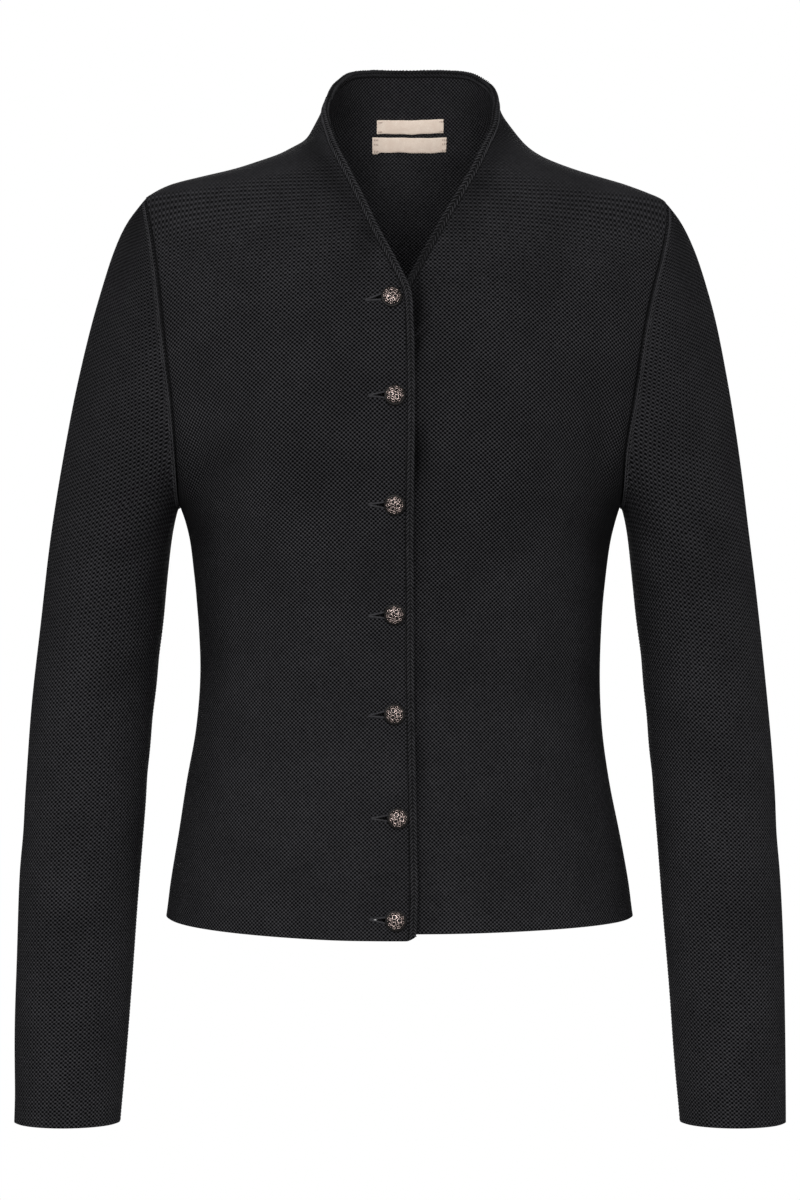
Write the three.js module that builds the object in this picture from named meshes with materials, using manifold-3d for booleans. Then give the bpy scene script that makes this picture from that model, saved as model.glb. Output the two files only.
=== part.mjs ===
// Trachten cardigan in fine moss knit, worn shape with nothing inside it.
// Millimetres. +X is the wearer's left, -Y the front, +Z up. The origin lies on the
// centre line at the base of the neck, level with where the shoulders carry the garment.
import * as THREE from 'three';
import { mergeVertices } from 'three/addons/utils/BufferGeometryUtils.js';
import Module from 'manifold-3d';

// Driving sizes of cloth and seams
const WALL = 2.6;
const SEAM_GAP = 0.36;
const BAND_WIDTH = 5.4;
const BAND_PROUD = 0.5;
const BAND_INSET = BAND_WIDTH + SEAM_GAP;
const FRONT_LIFT = 2.2;
const FRONT_SINK = 1.8;
const ROUNDNESS = 2.2;

// Landmarks
const UNDERARM = -245;
const SHOULDER_POINT = { right: { x: 175, z: -33 }, left: { x: 183, z: -36 } };
const COLLAR_SIDE = 38;
const ARMHOLE_HALF_DEPTH = 60;
const ARMHOLE_EGG = 1.25;
const UNDERARM_THICKENING = 0.9;

// Half widths of the body below the armholes
const BODY_SIDE = [
  { z: -560, right: 168, left: 168 },
  { z: -529, right: 161.4, left: 160.8 },
  { z: -503, right: 157.9, left: 157.2 },
  { z: -469, right: 152.4, left: 151.0 },
  { z: -434, right: 146.9, left: 144.1 },
  { z: -400, right: 140.7, left: 139.4 },
  { z: -366, right: 137.9, left: 137.9 },
  { z: -331, right: 138.6, left: 138.6 },
  { z: -297, right: 141.4, left: 141.4 },
  { z: -271, right: 144.6, left: 145.0 },
  { z: -256, right: 148.0, left: 148.4 },
  { z: -245, right: 151.7, left: 151.7 },
];

// Half widths over the shoulders and up the collar
const NECK_SIDE = [
  { z: -45, right: 190, left: 196 },
  { z: -36, right: 178.5, left: 183 },
  { z: -33, right: 175, left: 178 },
  { z: -25, right: 159.8, left: 156.8 },
  { z: -19.8, right: 139.4, left: 138.8 },
  { z: -15, right: 118.2, left: 123.0 },
  { z: -9.3, right: 99.4, left: 107.4 },
  { z: -4.4, right: 84.9, left: 97.0 },
  { z: 1.4, right: 74.2, left: 88.8 },
  { z: 7, right: 65.8, left: 83.6 },
  { z: 13.5, right: 61.0, left: 78.6 },
  { z: 25, right: 54.7, left: 70.4 },
  { z: 36, right: 50.2, left: 67.3 },
  { z: 50, right: 48.2, left: 66.4 },
  { z: 70, right: 47.0, left: 66.5 },
];

// Line of the armhole seam as seen from the front
const ARMHOLE_LINE = {
  right: [
    { z: -245, x: 151.7 },
    { z: -220, x: 151.8 },
    { z: -179, x: 154.4 },
    { z: -140, x: 159.0 },
    { z: -91, x: 164.6 },
    { z: -60, x: 169.5 },
    { z: -33, x: 175.0 },
  ],
  left: [
    { z: -245, x: 151.7 },
    { z: -209, x: 152.8 },
    { z: -174, x: 158.5 },
    { z: -126, x: 166.0 },
    { z: -104, x: 170.7 },
    { z: -73, x: 178.6 },
    { z: -52, x: 182.6 },
    { z: -36, x: 183.0 },
  ],
};

// Depths in front of and behind the side seams, on the centre lines
const DEPTH = [
  { z: -560, front: 108, back: 104 },
  { z: -529, front: 105, back: 102 },
  { z: -450, front: 99, back: 98 },
  { z: -400, front: 94, back: 88 },
  { z: -355, front: 92, back: 79 },
  { z: -300, front: 99, back: 82 },
  { z: -245, front: 108, back: 90 },
  { z: -205, front: 111, back: 96 },
  { z: -150, front: 104, back: 100 },
  { z: -90, front: 91, back: 97 },
  { z: -45, front: 78, back: 88 },
  { z: -14, front: 69, back: 77 },
  { z: 8, front: 63, back: 69 },
  { z: 36, front: 57, back: 63 },
  { z: 70, front: 52, back: 59 },
];

// Fullness over the bust, which the knit spans as two soft rises
const BUST = { x: 78, z: -212, across: 46, up: 52, rise: 9 };

// Soft folds of the worn cloth: a line seen from the front or the back, deepest where
// it starts, with its width and depth
const FOLDS = [
  { face: 'front', x0: -150, z0: -236, x1: -88, z1: -200, width: 16, depth: 4.5 },
  { face: 'front', x0: -146, z0: -268, x1: -98, z1: -254, width: 15, depth: 3.5 },
  { face: 'front', x0: 150, z0: -230, x1: 94, z1: -190, width: 16, depth: 4 },
  { face: 'front', x0: 147, z0: -272, x1: 108, z1: -262, width: 15, depth: 3 },
  { face: 'front', x0: -134, z0: -352, x1: -82, z1: -340, width: 18, depth: 2.5 },
  { face: 'front', x0: 132, z0: -368, x1: 76, z1: -374, width: 18, depth: 2.2 },
  { face: 'back', x0: -148, z0: -234, x1: -74, z1: -206, width: 17, depth: 4.5 },
  { face: 'back', x0: 150, z0: -240, x1: 84, z1: -216, width: 16, depth: 4 },
  { face: 'back', x0: -124, z0: -352, x1: 20, z1: -340, width: 17, depth: 4 },
  { face: 'back', x0: 128, z0: -366, x1: -34, z1: -378, width: 19, depth: 4.5 },
  { face: 'back', x0: -118, z0: -398, x1: -20, z1: -410, width: 18, depth: 3 },
];

// Edge of each front: centre edge from hem to neckline, then the V seen from the front
const CENTRE_EDGE = {
  right: [
    { x: 9.0, z: -536 },
    { x: 11.2, z: -455 },
    { x: 10.0, z: -385 },
    { x: 9.5, z: -320 },
    { x: 9.4, z: -250 },
    { x: 10.2, z: -174 },
    { x: 7.8, z: -125 },
    { x: 8.7, z: -99.4 },
  ],
  left: [
    { x: -16, z: -530.5 },
    { x: -16, z: -400 },
    { x: -16, z: -270 },
    { x: -16, z: -134.7 },
  ],
};
const V_EDGE = {
  right: [
    { x: 8.7, z: -99.4 },
    { x: -2.7, z: -80.4 },
    { x: -13.4, z: -59.8 },
    { x: -24.9, z: -36.8 },
    { x: -36.3, z: -13.9 },
    { x: -49.1, z: 17.9 },
  ],
  left: [
    { x: -16, z: -134.7 },
    { x: -2, z: -108.6 },
    { x: 12, z: -82.5 },
    { x: 19.4, z: -68.7 },
    { x: 30.9, z: -47.7 },
    { x: 41.8, z: -29.8 },
    { x: 53.4, z: -8.6 },
    { x: 66.3, z: 23.9 },
  ],
};

// Top edge of the collar, by the turn in degrees from centre front round to centre back
const COLLAR_TOP = [
  { turn: 90, z: COLLAR_SIDE },
  { turn: 103, z: 46.2 },
  { turn: 117, z: 53.0 },
  { turn: 133, z: 59.6 },
  { turn: 156, z: 62.9 },
  { turn: 180, z: 63.3 },
];

// Level of the hem at the side seams and at centre back
const HEM_SIDE = { right: -526, left: -525.5 };
const HEM_BACK = -530;

// Sleeve outline: outer and inner silhouettes
const SLEEVE_OUTER = [
  { z: -675, x: 262.6 },
  { z: -641, x: 263.2 },
  { z: -590, x: 262.8 },
  { z: -538, x: 261.6 },
  { z: -486, x: 259.6 },
  { z: -434, x: 256.4 },
  { z: -383, x: 252.9 },
  { z: -331, x: 248.3 },
  { z: -279, x: 242.3 },
  { z: -245, x: 237.6 },
  { z: -210, x: 232.0 },
  { z: -176, x: 225.4 },
  { z: -141, x: 218.3 },
  { z: -107, x: 209.8 },
  { z: -72, x: 198.8 },
  { z: -52, x: 189.6 },
  { z: -43, x: 184.2 },
  { z: -30, x: 174.0 },
];
const SLEEVE_INNER = [
  { z: -675, x: 191.4 },
  { z: -641, x: 188.6 },
  { z: -590, x: 184.6 },
  { z: -538, x: 181.2 },
  { z: -486, x: 177.4 },
  { z: -434, x: 173.4 },
  { z: -383, x: 168.9 },
  { z: -331, x: 163.7 },
  { z: -297, x: 160.4 },
  { z: -270, x: 157.4 },
  { z: -255, x: 155.0 },
  { z: -245, x: 152.6 },
];

// Rings of the sleeve from the armhole to the cuff: heights of the outer and inner
// silhouette points, half depth, how far forward, and how egg-shaped
const SLEEVE_RINGS = [
  { outer: -50, inner: -248.5, halfDepth: 60.5, forward: 0, egg: 1.22 },
  { outer: -68, inner: -252.5, halfDepth: 60.5, forward: 0, egg: 1.19 },
  { outer: -92, inner: -258, halfDepth: 60.0, forward: 0, egg: 1.15 },
  { outer: -122, inner: -265, halfDepth: 59.0, forward: 0, egg: 1.1 },
  { outer: -156, inner: -275, halfDepth: 57.0, forward: 0, egg: 1.05 },
  { outer: -192, inner: -288, halfDepth: 54.5, forward: 0, egg: 1 },
  { outer: -230, inner: -306, halfDepth: 52.0, forward: 0.5, egg: 1 },
  { outer: -270, inner: -328, halfDepth: 50.0, forward: 1.5, egg: 1 },
  { outer: -312, inner: -354, halfDepth: 48.0, forward: 3, egg: 1 },
  { outer: -356, inner: -386, halfDepth: 46.5, forward: 6, egg: 1 },
  { outer: -402, inner: -424, halfDepth: 45.0, forward: 10, egg: 1 },
  { outer: -450, inner: -466, halfDepth: 43.0, forward: 15, egg: 1 },
  { outer: -500, inner: -511, halfDepth: 41.0, forward: 20, egg: 1 },
  { outer: -552, inner: -559, halfDepth: 39.0, forward: 25, egg: 1 },
  { outer: -606, inner: -610, halfDepth: 37.5, forward: 30, egg: 1 },
  { outer: -665, inner: -665, halfDepth: 36.5, forward: 34, egg: 1 },
];
// The wearer's left sleeve stands a little wider over its cap
const CAP_EXTRA = { right: -0.6, left: 5.2 };
const CAP_FADE = { full: -90, none: -300 };

// Grid steps
const ROWS_BELOW_ARMHOLE = 12;
const ROWS_ARMHOLE = 10;
const ROWS_SHOULDER = 5;
const EDGE_ROWS_TO_V = 19;
const FRONT_COLUMNS = 11;
const BACK_COLUMNS = 20;

// Seven domed buttons on the centre line, and their horizontal buttonholes
const BUTTONS = [
  { x: -5.3, z: -106.4 },
  { x: -3.3, z: -174.3 },
  { x: -2.7, z: -248.3 },
  { x: -2.7, z: -319.6 },
  { x: -2.7, z: -385.6 },
  { x: -1.3, z: -453.8 },
  { x: -2.7, z: -521.2 },
];
const BUTTON_RADIUS = 7.2;
const BUTTON_HEIGHT = 5.2;
const BUTTON_CLEAR = 0.55;
const SHANK_RADIUS = 1.2;
const SLOT_HEIGHT = 3.2;
const SLOT_REACH = 15.5;
const SLOT_DEPTH = 14;

// Two woven labels, bare, inside the back of the collar
const LABELS = [
  { name: 'label_upper', x: 6.7, width: 47.3, top: 28.5, bottom: 19.3 },
  { name: 'label_lower', x: 6.4, width: 53.6, top: 16.5, bottom: 6.6 },
];
const LABEL_WALL = 1.0;
const LABEL_COLUMNS = 8;

const SIGN = { right: -1, left: 1 };
const degrees = Math.PI / 180;
const QUARTER = Math.PI / 2;

const CHARCOAL = { color: 0x232325, roughness: 0.95, metalness: 0 };
const BAND_BLACK = { color: 0x252528, roughness: 0.92, metalness: 0 };
const ROSE_SILVER = { color: 0xb8a39a, roughness: 0.35, metalness: 1 };
const CREAM = { color: 0xded1c5, roughness: 0.9, metalness: 0 };

// Smooth value of one column of a table, sorted by its key
function lookup(table, key, column, at) {
  const last = table.length - 1;
  let i = 0;
  while (i < last - 1 && table[i + 1][key] < at) {
    i += 1;
  }
  const slope = (k) => {
    const a = table[Math.max(k - 1, 0)];
    const b = table[Math.min(k + 1, last)];
    return (b[column] - a[column]) / (b[key] - a[key]);
  };
  const from = table[i];
  const to = table[i + 1];
  const span = to[key] - from[key];
  const t = THREE.MathUtils.clamp((at - from[key]) / span, 0, 1);
  const rise = to[column] - from[column];
  const curveIn = slope(i) * span - rise;
  const curveOut = rise - slope(i + 1) * span;
  const bend = t * (1 - t) * (curveIn * (1 - t) + curveOut * t);
  return from[column] + rise * t + bend;
}

// Armhole height at a turn that goes from 0 at the underarm to PI at the shoulder point
function armholeHeight(side, turn) {
  const share = ((1 - Math.cos(turn)) / 2) ** ARMHOLE_EGG;
  return UNDERARM + (SHOULDER_POINT[side].z - UNDERARM) * share;
}

// Half depth of the armhole at a height
function armholeHalfDepth(side, z) {
  const share = (z - UNDERARM) / (SHOULDER_POINT[side].z - UNDERARM);
  const along = 2 * THREE.MathUtils.clamp(share, 0, 1) ** (1 / ARMHOLE_EGG) - 1;
  return ARMHOLE_HALF_DEPTH * Math.sqrt(Math.max(1 - along * along, 0));
}

// Half width that the body's ring needs at a height
function ringHalfWidth(side, z, depth) {
  if (z <= UNDERARM) {
    return lookup(BODY_SIDE, 'z', side, z);
  }
  if (z >= SHOULDER_POINT[side].z) {
    return lookup(NECK_SIDE, 'z', side, z);
  }
  const line = lookup(ARMHOLE_LINE[side], 'z', 'x', z);
  const share = (armholeHalfDepth(side, z) / depth) ** ROUNDNESS;
  return line / (1 - share) ** (1 / ROUNDNESS);
}

function bustRise(x, z) {
  const up = Math.exp(-(((z - BUST.z) / BUST.up) ** 2));
  const across = [-1, 1].map((s) => Math.exp(-(((x - s * BUST.x) / BUST.across) ** 2)));
  return BUST.rise * up * (across[0] + across[1]);
}

function foldDepth(face, x, z) {
  let depth = 0;
  FOLDS.filter((fold) => fold.face === face).forEach((fold) => {
    const runX = fold.x1 - fold.x0;
    const runZ = fold.z1 - fold.z0;
    const along = ((x - fold.x0) * runX + (z - fold.z0) * runZ) / (runX ** 2 + runZ ** 2);
    const share = THREE.MathUtils.clamp(along, 0, 1);
    const away = Math.hypot(x - fold.x0 - share * runX, z - fold.z0 - share * runZ);
    depth += fold.depth * (1 - share ** 2) * Math.exp(-((away / fold.width) ** 2));
  });
  return depth;
}

// Point of the body's surface: turn 0 at centre front, +90 degrees at the wearer's left
function bodyPoint(turn, z) {
  const across = Math.sin(turn);
  const ahead = Math.cos(turn);
  const side = across < 0 ? 'right' : 'left';
  const depth = lookup(DEPTH, 'z', ahead >= 0 ? 'front' : 'back', z);
  const width = ringHalfWidth(side, z, depth);
  const power = 2 / ROUNDNESS;
  const x = Math.sign(across) * width * Math.abs(across) ** power;
  const y = -Math.sign(ahead) * depth * Math.abs(ahead) ** power;
  const clearOfSeam = Math.min(1, 3 * Math.abs(ahead));
  const rise = ahead > 0 ? bustRise(x, z) * clearOfSeam : 0;
  const sink = foldDepth(ahead > 0 ? 'front' : 'back', x, z) * clearOfSeam;
  const shrink = 1 - sink / Math.hypot(x, y);
  return new THREE.Vector3(x * shrink, (y - rise) * shrink, z);
}

function bodyNormal(turn, z) {
  const step = 0.01;
  const reach = 1.5;
  const along = bodyPoint(turn + step, z).sub(bodyPoint(turn - step, z));
  const up = bodyPoint(turn, z + reach).sub(bodyPoint(turn, z - reach));
  return along.cross(up).normalize();
}

// Turn at which the ring of a height passes x, on the front or the back
function turnAt(x, z, back = false) {
  const side = x < 0 ? 'right' : 'left';
  const depth = lookup(DEPTH, 'z', back ? 'back' : 'front', z);
  const share = Math.min(Math.abs(x) / ringHalfWidth(side, z, depth), 1);
  const turn = Math.asin(share ** (ROUNDNESS / 2));
  return Math.sign(x) * (back ? Math.PI - turn : turn);
}

// Turn of a free point near the surface
function turnOf(point) {
  const side = point.x < 0 ? 'right' : 'left';
  const depth = lookup(DEPTH, 'z', point.y < 0 ? 'front' : 'back', point.z);
  const across = Math.abs(point.x) / ringHalfWidth(side, point.z, depth);
  const ahead = Math.abs(point.y) / depth;
  const turn = Math.atan2(across ** (ROUNDNESS / 2), ahead ** (ROUNDNESS / 2));
  return Math.sign(point.x) * (point.y < 0 ? turn : Math.PI - turn);
}

// How far a front stands off the body's surface beside the closure
function closureLift(side, x) {
  const smooth = THREE.MathUtils.smoothstep;
  if (side === 'right') {
    return FRONT_LIFT * smooth(x, -58, -24);
  }
  return -FRONT_SINK * (1 - smooth(x, 16, 50));
}

// Place on a panel: the outer face, moved out by `out` millimetres
function panelPoint(spot, panel, out) {
  const point = bodyPoint(spot.turn, spot.z);
  const lift = panel === 'back' ? 0 : closureLift(panel, point.x);
  return point.addScaledVector(bodyNormal(spot.turn, spot.z), lift + out);
}

// Point on the armhole seam, `inward` millimetres inside its outer face
function armholePoint(side, face, turn, inward, gap) {
  const step = 0.02;
  const low = Math.max(turn - step, 0);
  const high = Math.min(turn + step, Math.PI);
  const at = (t) => {
    const height = armholeHeight(side, t);
    return { y: -face * armholeHalfDepth(side, height), z: height };
  };
  const here = at(turn);
  const from = at(low);
  const to = at(high);
  const along = new THREE.Vector2(to.y - from.y, to.z - from.z).normalize();
  const bottom = Math.max(Math.cos(turn), 0) ** 4;
  const reach = inward * (1 + UNDERARM_THICKENING * bottom);
  let normalY = -face * along.y;
  let normalZ = face * along.x;
  if (turn <= step) {
    [normalY, normalZ] = [0, -1];
  }
  if (turn >= Math.PI - step) {
    [normalY, normalZ] = [0, 1];
  }
  const y = here.y - normalY * reach;
  const z = here.z - normalZ * reach;
  const height = THREE.MathUtils.clamp(z, UNDERARM, SHOULDER_POINT[side].z);
  const x = lookup(ARMHOLE_LINE[side], 'z', 'x', height) + gap;
  return new THREE.Vector3(SIGN[side] * x, y, z);
}

// Curve of the neckline on one side: up the V, round the collar, to centre back
function necklineCurve(side) {
  const vee = V_EDGE[side].map((p) => bodyPoint(turnAt(p.x, p.z), p.z));
  const top = COLLAR_TOP.map((p) => bodyPoint(SIGN[side] * p.turn * degrees, p.z));
  return {
    curve: new THREE.CatmullRomCurve3([...vee, ...top], false, 'centripetal'),
    sideStop: vee.length / (vee.length + top.length - 1),
  };
}

function centreCurve(side) {
  const points = CENTRE_EDGE[side].map((p) => bodyPoint(turnAt(p.x, p.z), p.z));
  return new THREE.CatmullRomCurve3(points, false, 'centripetal');
}

// Even stations along a stretch of a curve, as turns and heights with their direction
function stations(curve, from, to, count) {
  const fine = 240;
  const points = [];
  const run = [0];
  for (let i = 0; i <= fine; i += 1) {
    points.push(curve.getPoint(from + ((to - from) * i) / fine));
    if (i > 0) {
      run.push(run[i - 1] + points[i].distanceTo(points[i - 1]));
    }
  }
  const found = [];
  for (let k = 0; k <= count; k += 1) {
    const goal = (run[fine] * k) / count;
    let i = 0;
    while (i < fine - 1 && run[i + 1] < goal) {
      i += 1;
    }
    const share = (goal - run[i]) / (run[i + 1] - run[i]);
    const point = points[i].clone().lerp(points[i + 1], share);
    const along = points[Math.min(i + 1, fine)].clone().sub(points[Math.max(i - 1, 0)]);
    found.push({ turn: turnOf(point), z: point.z, along: along.normalize() });
  }
  return found;
}

// Stations of a front's edge from hem to the shoulder seam at the collar's top
function frontEdge(side) {
  const { curve, sideStop } = necklineCurve(side);
  const centre = stations(centreCurve(side), 0, 1, EDGE_ROWS_TO_V);
  const rows = ROWS_BELOW_ARMHOLE + ROWS_ARMHOLE + ROWS_SHOULDER;
  const vee = stations(curve, 0, sideStop, rows - EDGE_ROWS_TO_V + 1);
  const corner = centre[EDGE_ROWS_TO_V];
  corner.along.add(vee[0].along).normalize();
  return [...centre, ...vee.slice(1)];
}

// Stations of the collar's top edge from the wearer's left round the back to the right
function collarEdge() {
  const half = BACK_COLUMNS / 2;
  const sides = ['left', 'right'].map((side) => {
    const { curve, sideStop } = necklineCurve(side);
    return stations(curve, sideStop, 1, half);
  });
  const [left, right] = sides;
  left[half].turn = Math.PI;
  left[half].along.set(-1, 0, 0);
  const back = right.slice(0, half).reverse();
  back.forEach((s) => {
    s.along.negate();
    s.turn += 2 * Math.PI;
  });
  return [...left, ...back];
}

// Spot on the surface that lies `inset` millimetres inside the edge at a station
function insetSpot(station, inward, inset) {
  const point = bodyPoint(station.turn, station.z);
  const normal = bodyNormal(station.turn, station.z);
  const across = normal.clone().cross(station.along).multiplyScalar(inward).normalize();
  point.addScaledVector(across, inset);
  let turn = turnOf(point);
  if (station.turn > Math.PI && turn < 0) {
    turn += 2 * Math.PI;
  }
  return { turn, z: point.z };
}

// The side line of a panel, row by row, from hem to collar
function sideRows(side, collarTop) {
  const rows = [];
  for (let i = 0; i < ROWS_BELOW_ARMHOLE; i += 1) {
    const share = i / ROWS_BELOW_ARMHOLE;
    rows.push({ kind: 'seam', z: HEM_SIDE[side] + (UNDERARM - HEM_SIDE[side]) * share });
  }
  for (let i = 0; i <= ROWS_ARMHOLE; i += 1) {
    const turn = (Math.PI * i) / ROWS_ARMHOLE;
    rows.push({ kind: 'armhole', turn, z: armholeHeight(side, turn) });
  }
  const shoulder = SHOULDER_POINT[side].z;
  for (let i = 1; i <= ROWS_SHOULDER; i += 1) {
    const share = (i / ROWS_SHOULDER) ** 1.5;
    rows.push({ kind: 'seam', z: shoulder + (collarTop - shoulder) * share });
  }
  return rows;
}

// Outer and inner point at a panel's side line; face is 1 on the front, -1 on the back
function sidePair(side, row, face) {
  const half = SEAM_GAP / 2;
  if (row.kind === 'armhole') {
    const outer = armholePoint(side, face, row.turn, 0, -half);
    const inner = armholePoint(side, face, row.turn, WALL, -half);
    if (row.turn === 0 || row.turn === Math.PI) {
      outer.y = -face * half;
      inner.y = -face * half;
    }
    return { outer, inner };
  }
  const turn = SIGN[side] * QUARTER;
  const outer = bodyPoint(turn, row.z);
  const inner = outer.clone().addScaledVector(bodyNormal(turn, row.z), -WALL);
  outer.y = -face * half;
  inner.y = -face * half;
  return { outer, inner };
}

// Turn of the side line on the surface that a row's inner columns lead to
function sideTurn(side, row, face) {
  if (row.kind === 'seam') {
    return SIGN[side] * QUARTER;
  }
  const line = lookup(ARMHOLE_LINE[side], 'z', 'x', row.z);
  return turnAt(SIGN[side] * line, row.z, face < 0);
}

// Closed solid between an outer and an inner grid of points
function wallSolid(outer, inner, around = false) {
  const rows = outer.length;
  const columns = outer[0].length;
  const positions = [];
  [outer, inner].forEach((grid) => {
    grid.forEach((row) => row.forEach((p) => positions.push(p.x, p.y, p.z)));
  });
  const index = [];
  const at = (face, i, j) => face * rows * columns + i * columns + (j % columns);
  const quad = (a, b, c, d) => index.push(a, b, c, a, c, d);
  const spans = around ? columns : columns - 1;
  for (let i = 0; i < rows - 1; i += 1) {
    for (let j = 0; j < spans; j += 1) {
      quad(at(0, i, j), at(0, i, j + 1), at(0, i + 1, j + 1), at(0, i + 1, j));
      quad(at(1, i, j), at(1, i + 1, j), at(1, i + 1, j + 1), at(1, i, j + 1));
    }
  }
  for (let j = 0; j < spans; j += 1) {
    const top = rows - 1;
    quad(at(0, 0, j + 1), at(0, 0, j), at(1, 0, j), at(1, 0, j + 1));
    quad(at(0, top, j), at(0, top, j + 1), at(1, top, j + 1), at(1, top, j));
  }
  if (!around) {
    const end = columns - 1;
    for (let i = 0; i < rows - 1; i += 1) {
      quad(at(0, i, 0), at(0, i + 1, 0), at(1, i + 1, 0), at(1, i, 0));
      quad(at(0, i + 1, end), at(0, i, end), at(1, i, end), at(1, i + 1, end));
    }
  }
  const geometry = new THREE.BufferGeometry();
  geometry.setAttribute('position', new THREE.Float32BufferAttribute(positions, 3));
  geometry.setIndex(index);
  geometry.computeVertexNormals();
  return geometry;
}

// Height at which the panels' top edges meet the collar's side line
function collarPanelTop(side) {
  const stops = frontEdge(side);
  const { along, z } = stops[stops.length - 1];
  return z - BAND_INSET / Math.abs(along.y);
}

// One front, from its side seam, armhole and shoulder seam to its edge band
function frontGeometry(side) {
  const edge = frontEdge(side);
  const rows = sideRows(side, collarPanelTop(side));
  const outer = [];
  const inner = [];
  rows.forEach((row, i) => {
    const rim = sidePair(side, row, 1);
    const away = { turn: sideTurn(side, row, 1), z: row.z };
    const near = insetSpot(edge[i], -SIGN[side], BAND_INSET);
    const outerRow = [];
    const innerRow = [];
    for (let j = 0; j < FRONT_COLUMNS; j += 1) {
      const share = j / FRONT_COLUMNS;
      const spot = {
        turn: THREE.MathUtils.lerp(near.turn, away.turn, share),
        z: THREE.MathUtils.lerp(near.z, away.z, share),
      };
      outerRow.push(panelPoint(spot, side, 0));
      innerRow.push(panelPoint(spot, side, -WALL));
    }
    outerRow.push(rim.outer);
    innerRow.push(rim.inner);
    if (side === 'right') {
      outerRow.reverse();
      innerRow.reverse();
    }
    outer.push(outerRow);
    inner.push(innerRow);
  });
  return wallSolid(outer, inner);
}

// The back with the back of the collar grown on
function backGeometry() {
  const edge = collarEdge();
  const tops = { left: collarPanelTop('left'), right: collarPanelTop('right') };
  const left = sideRows('left', tops.left);
  const right = sideRows('right', tops.right);
  const last = left.length - 1;
  const outer = [];
  const inner = [];
  for (let i = 0; i <= last; i += 1) {
    const leftRim = sidePair('left', left[i], -1);
    const rightRim = sidePair('right', right[i], -1);
    const from = { turn: sideTurn('left', left[i], -1), z: left[i].z };
    const to = { turn: 2 * Math.PI + sideTurn('right', right[i], -1), z: right[i].z };
    const outerRow = [leftRim.outer];
    const innerRow = [leftRim.inner];
    const climb = i / last;
    for (let j = 1; j < BACK_COLUMNS; j += 1) {
      const share = j / BACK_COLUMNS;
      const top = insetSpot(edge[j], -1, BAND_INSET);
      const sides = THREE.MathUtils.lerp(from.z, to.z, share);
      const ends = THREE.MathUtils.lerp(left[last].z, right[last].z, share);
      const rise = (top.z - ends) * climb ** 3;
      const sag = (HEM_BACK - left[0].z) * (1 - climb) * Math.sin(Math.PI * share);
      const spread = THREE.MathUtils.lerp(from.turn, to.turn, share);
      const evened = THREE.MathUtils.lerp(spread, top.turn, climb ** 6);
      const spot = { turn: evened, z: sides + rise + sag };
      outerRow.push(panelPoint(spot, 'back', 0));
      innerRow.push(panelPoint(spot, 'back', -WALL));
    }
    outerRow.push(rightRim.outer);
    innerRow.push(rightRim.inner);
    outer.push(outerRow);
    inner.push(innerRow);
  }
  return wallSolid(outer, inner);
}

// Extra reach of a sleeve's cap
function capExtra(side, z) {
  return CAP_EXTRA[side] * THREE.MathUtils.smoothstep(z, CAP_FADE.none, CAP_FADE.full);
}

// One set-in sleeve from the armhole seam to the cuff
function sleeveGeometry(side) {
  const half = ROWS_ARMHOLE;
  const count = 2 * half;
  const outer = [];
  const first = { outer: [], inner: [] };
  for (let k = 0; k < count; k += 1) {
    const face = k <= half ? 1 : -1;
    const turn = Math.PI * (1 - (k <= half ? k : count - k) / half);
    first.outer.push(armholePoint(side, face, turn, 0, SEAM_GAP / 2));
    first.inner.push(armholePoint(side, face, turn, WALL, SEAM_GAP / 2));
  }
  outer.push(first.outer);
  SLEEVE_RINGS.forEach((ring) => {
    const outerX = lookup(SLEEVE_OUTER, 'z', 'x', ring.outer) + capExtra(side, ring.outer);
    const innerX = lookup(SLEEVE_INNER, 'z', 'x', ring.inner);
    const row = [];
    for (let k = 0; k < count; k += 1) {
      const angle = (2 * Math.PI * k) / count;
      const share = ((1 + Math.cos(angle)) / 2) ** ring.egg;
      const x = THREE.MathUtils.lerp(innerX, outerX, share);
      const z = THREE.MathUtils.lerp(ring.inner, ring.outer, share);
      const y = -ring.forward - ring.halfDepth * Math.sin(angle);
      row.push(new THREE.Vector3(SIGN[side] * x, y, z));
    }
    outer.push(row);
  });
  const inner = outer.map((row, i) => row.map((point, k) => {
    if (i === 0) {
      return first.inner[k];
    }
    const up = outer[i - 1][k].clone().sub(outer[Math.min(i + 1, outer.length - 1)][k]);
    const along = row[(k + 1) % count].clone().sub(row[(k + count - 1) % count]);
    const normal = along.cross(up).normalize().multiplyScalar(SIGN[side]);
    return point.clone().addScaledVector(normal, WALL);
  }));
  if (side === 'right') {
    outer.forEach((row) => row.reverse());
    inner.forEach((row) => row.reverse());
  }
  return wallSolid(outer, inner, true);
}

// Rounded section of an edge band, across its width and through its thickness
function bandSection() {
  const half = BAND_WIDTH / 2;
  const low = -WALL - BAND_PROUD;
  const soft = 1.1;
  return [
    [-half, low + soft], [-half + soft, low], [half - soft, low], [half, low + soft],
    [half, BAND_PROUD - soft], [half - soft, BAND_PROUD], [-half + soft, BAND_PROUD],
    [-half, BAND_PROUD - soft],
  ];
}

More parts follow.
